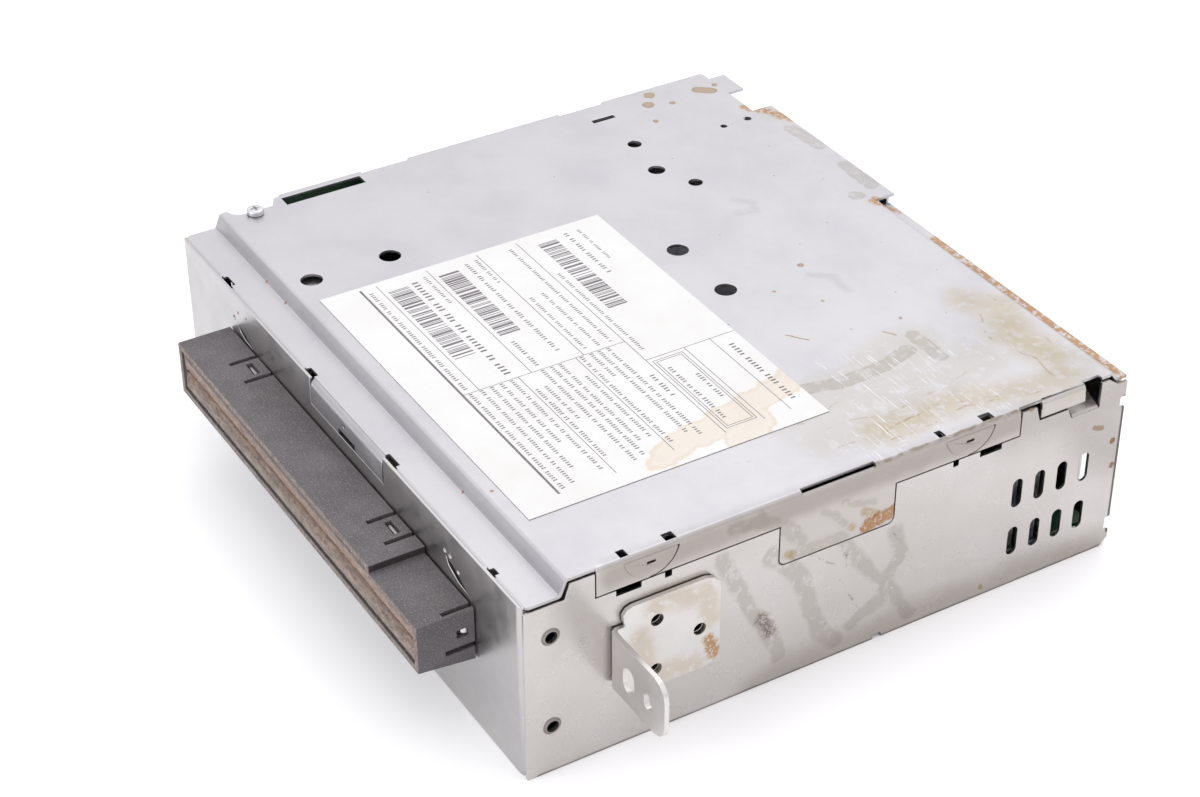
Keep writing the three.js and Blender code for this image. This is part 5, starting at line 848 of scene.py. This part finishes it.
AZIMUTH, ELEVATION, ROLL = (math.radians(angle) for angle in (59.1986, 34.58, -0.29348))
STAND = (0.45280, -0.27979, 0.38692)
FOCAL_PIXELS = 2559.8
IMAGE_PIXELS = 1200
SENSOR = 36


def camera():
    """The camera looks from an azimuth and an elevation with a small roll; its lens is the focal length
    in pixels as a share of the image's width, times the sensor's width in millimetres."""
    away = np.array([math.sin(AZIMUTH) * math.cos(ELEVATION), -math.cos(AZIMUTH) * math.cos(ELEVATION),
                     math.sin(ELEVATION)])
    right = np.cross([0, 0, 1], away)
    right /= np.linalg.norm(right)
    up = np.cross(away, right)
    across = right * math.cos(ROLL) + up * math.sin(ROLL)
    upward = up * math.cos(ROLL) - right * math.sin(ROLL)
    data = bpy.data.cameras.new("camera")
    data.sensor_width = SENSOR
    data.sensor_fit = "HORIZONTAL"
    data.lens = SENSOR * FOCAL_PIXELS / IMAGE_PIXELS
    seen = bpy.data.objects.new("camera", data)
    bpy.context.collection.objects.link(seen)
    pose = Matrix.Identity(4)
    for column, axis in enumerate((across, upward, away)):
        for row in range(3):
            pose[row][column] = axis[row]
    for row, value in enumerate(STAND):
        pose[row][3] = value
    seen.matrix_world = pose
    bpy.context.scene.camera = seen


camera()


# Floor, light and surroundings

FLOOR_RADIUS = 3
FLOOR_SIDES = 96


def floor():
    """A disc of white paper, 3 m in radius, with painted shade that greys it far off towards the front left,
    standing in for a dim room for the metal to reflect.
    """
    turn = np.linspace(0, 2 * np.pi, FLOOR_SIDES, endpoint=False)
    rim = FLOOR_RADIUS * np.stack([np.cos(turn), np.sin(turn), 0 * turn], axis=1)
    mesh = bpy.data.meshes.new("floor")
    mesh.from_pydata(rim.tolist(), [], [list(range(FLOOR_SIDES))])
    piece = bpy.data.objects.new("floor", mesh)
    bpy.context.collection.objects.link(piece)
    material, tree, place = start("white_paper_floor")
    # Painted shade: the floor greys far off towards the front left, standing in for a dim room for the metal
    # to reflect
    far = grow(tree, VECTOR, {0: place, 1: (-0.71, -0.7, 0.0)}, take=NUMBER, operation="DOT_PRODUCT")
    painted_far_shade = grow(tree, RANGE, {"Value": far, "From Min": 380.0, "From Max": 800.0}, **EASED)
    colour = grow(tree, MIX, {FACTOR: painted_far_shade, UNDER: "#FBFBFC", OVER: "#8A8A8E"}, **LAYER)
    tooth = cloud(tree, place, 2, 0.3, 0.7)
    close(tree, tooth, 0.002, Base_Color=colour, Roughness=0.9, Specular_IOR_Level=0.1)
    mesh.materials.append(material)


floor()


def surroundings():
    """A light tent: even and bright overhead, dimmer in a band round the horizon."""
    world = bpy.data.worlds.new("studio")
    world.use_nodes = True
    tree = world.node_tree
    tree.nodes.clear()
    place = grow(tree, "ShaderNodeTexCoord")
    height = grow(tree, SPLIT, {"Vector": place}, take=Z)
    span = {"From Min": 0.0, "From Max": 0.4, "To Min": 0.66, "To Max": 1.28}
    strength = grow(tree, RANGE, {"Value": height, **span}, **EASED)
    glow = grow(tree, "ShaderNodeBackground", {"Color": "#FCFBFD", "Strength": strength})
    grow(tree, "ShaderNodeOutputWorld", {"Surface": glow})
    bpy.context.scene.world = world


surroundings()


def softbox(name, place, size, power, aim=(0, 0, 0.03)):
    """A square lamp of a size in metres and a power in watts that faces the point it aims at."""
    data = bpy.data.lights.new(name, "AREA")
    data.shape = "SQUARE"
    data.size = size
    data.energy = power
    lamp = bpy.data.objects.new(name, data)
    bpy.context.collection.objects.link(lamp)
    away = np.array(place, float) - np.array(aim, float)
    away /= np.linalg.norm(away)
    side = np.cross([0, 1, 0.001], away)
    side /= np.linalg.norm(side)
    top = np.cross(away, side)
    pose = Matrix.Identity(4)
    for column, axis in enumerate((side, top, away)):
        for row in range(3):
            pose[row][column] = axis[row]
    for row in range(3):
        pose[row][3] = place[row]
    lamp.matrix_world = pose


softbox("key_softbox", (-0.5, 0.5, 1.3), 0.9, 3.0)
softbox("fill_softbox", (0.05, -1.3, 0.75), 1.0, 6.0, (-0.05, -0.12, 0))

bpy.context.scene.view_settings.view_transform = "Standard"
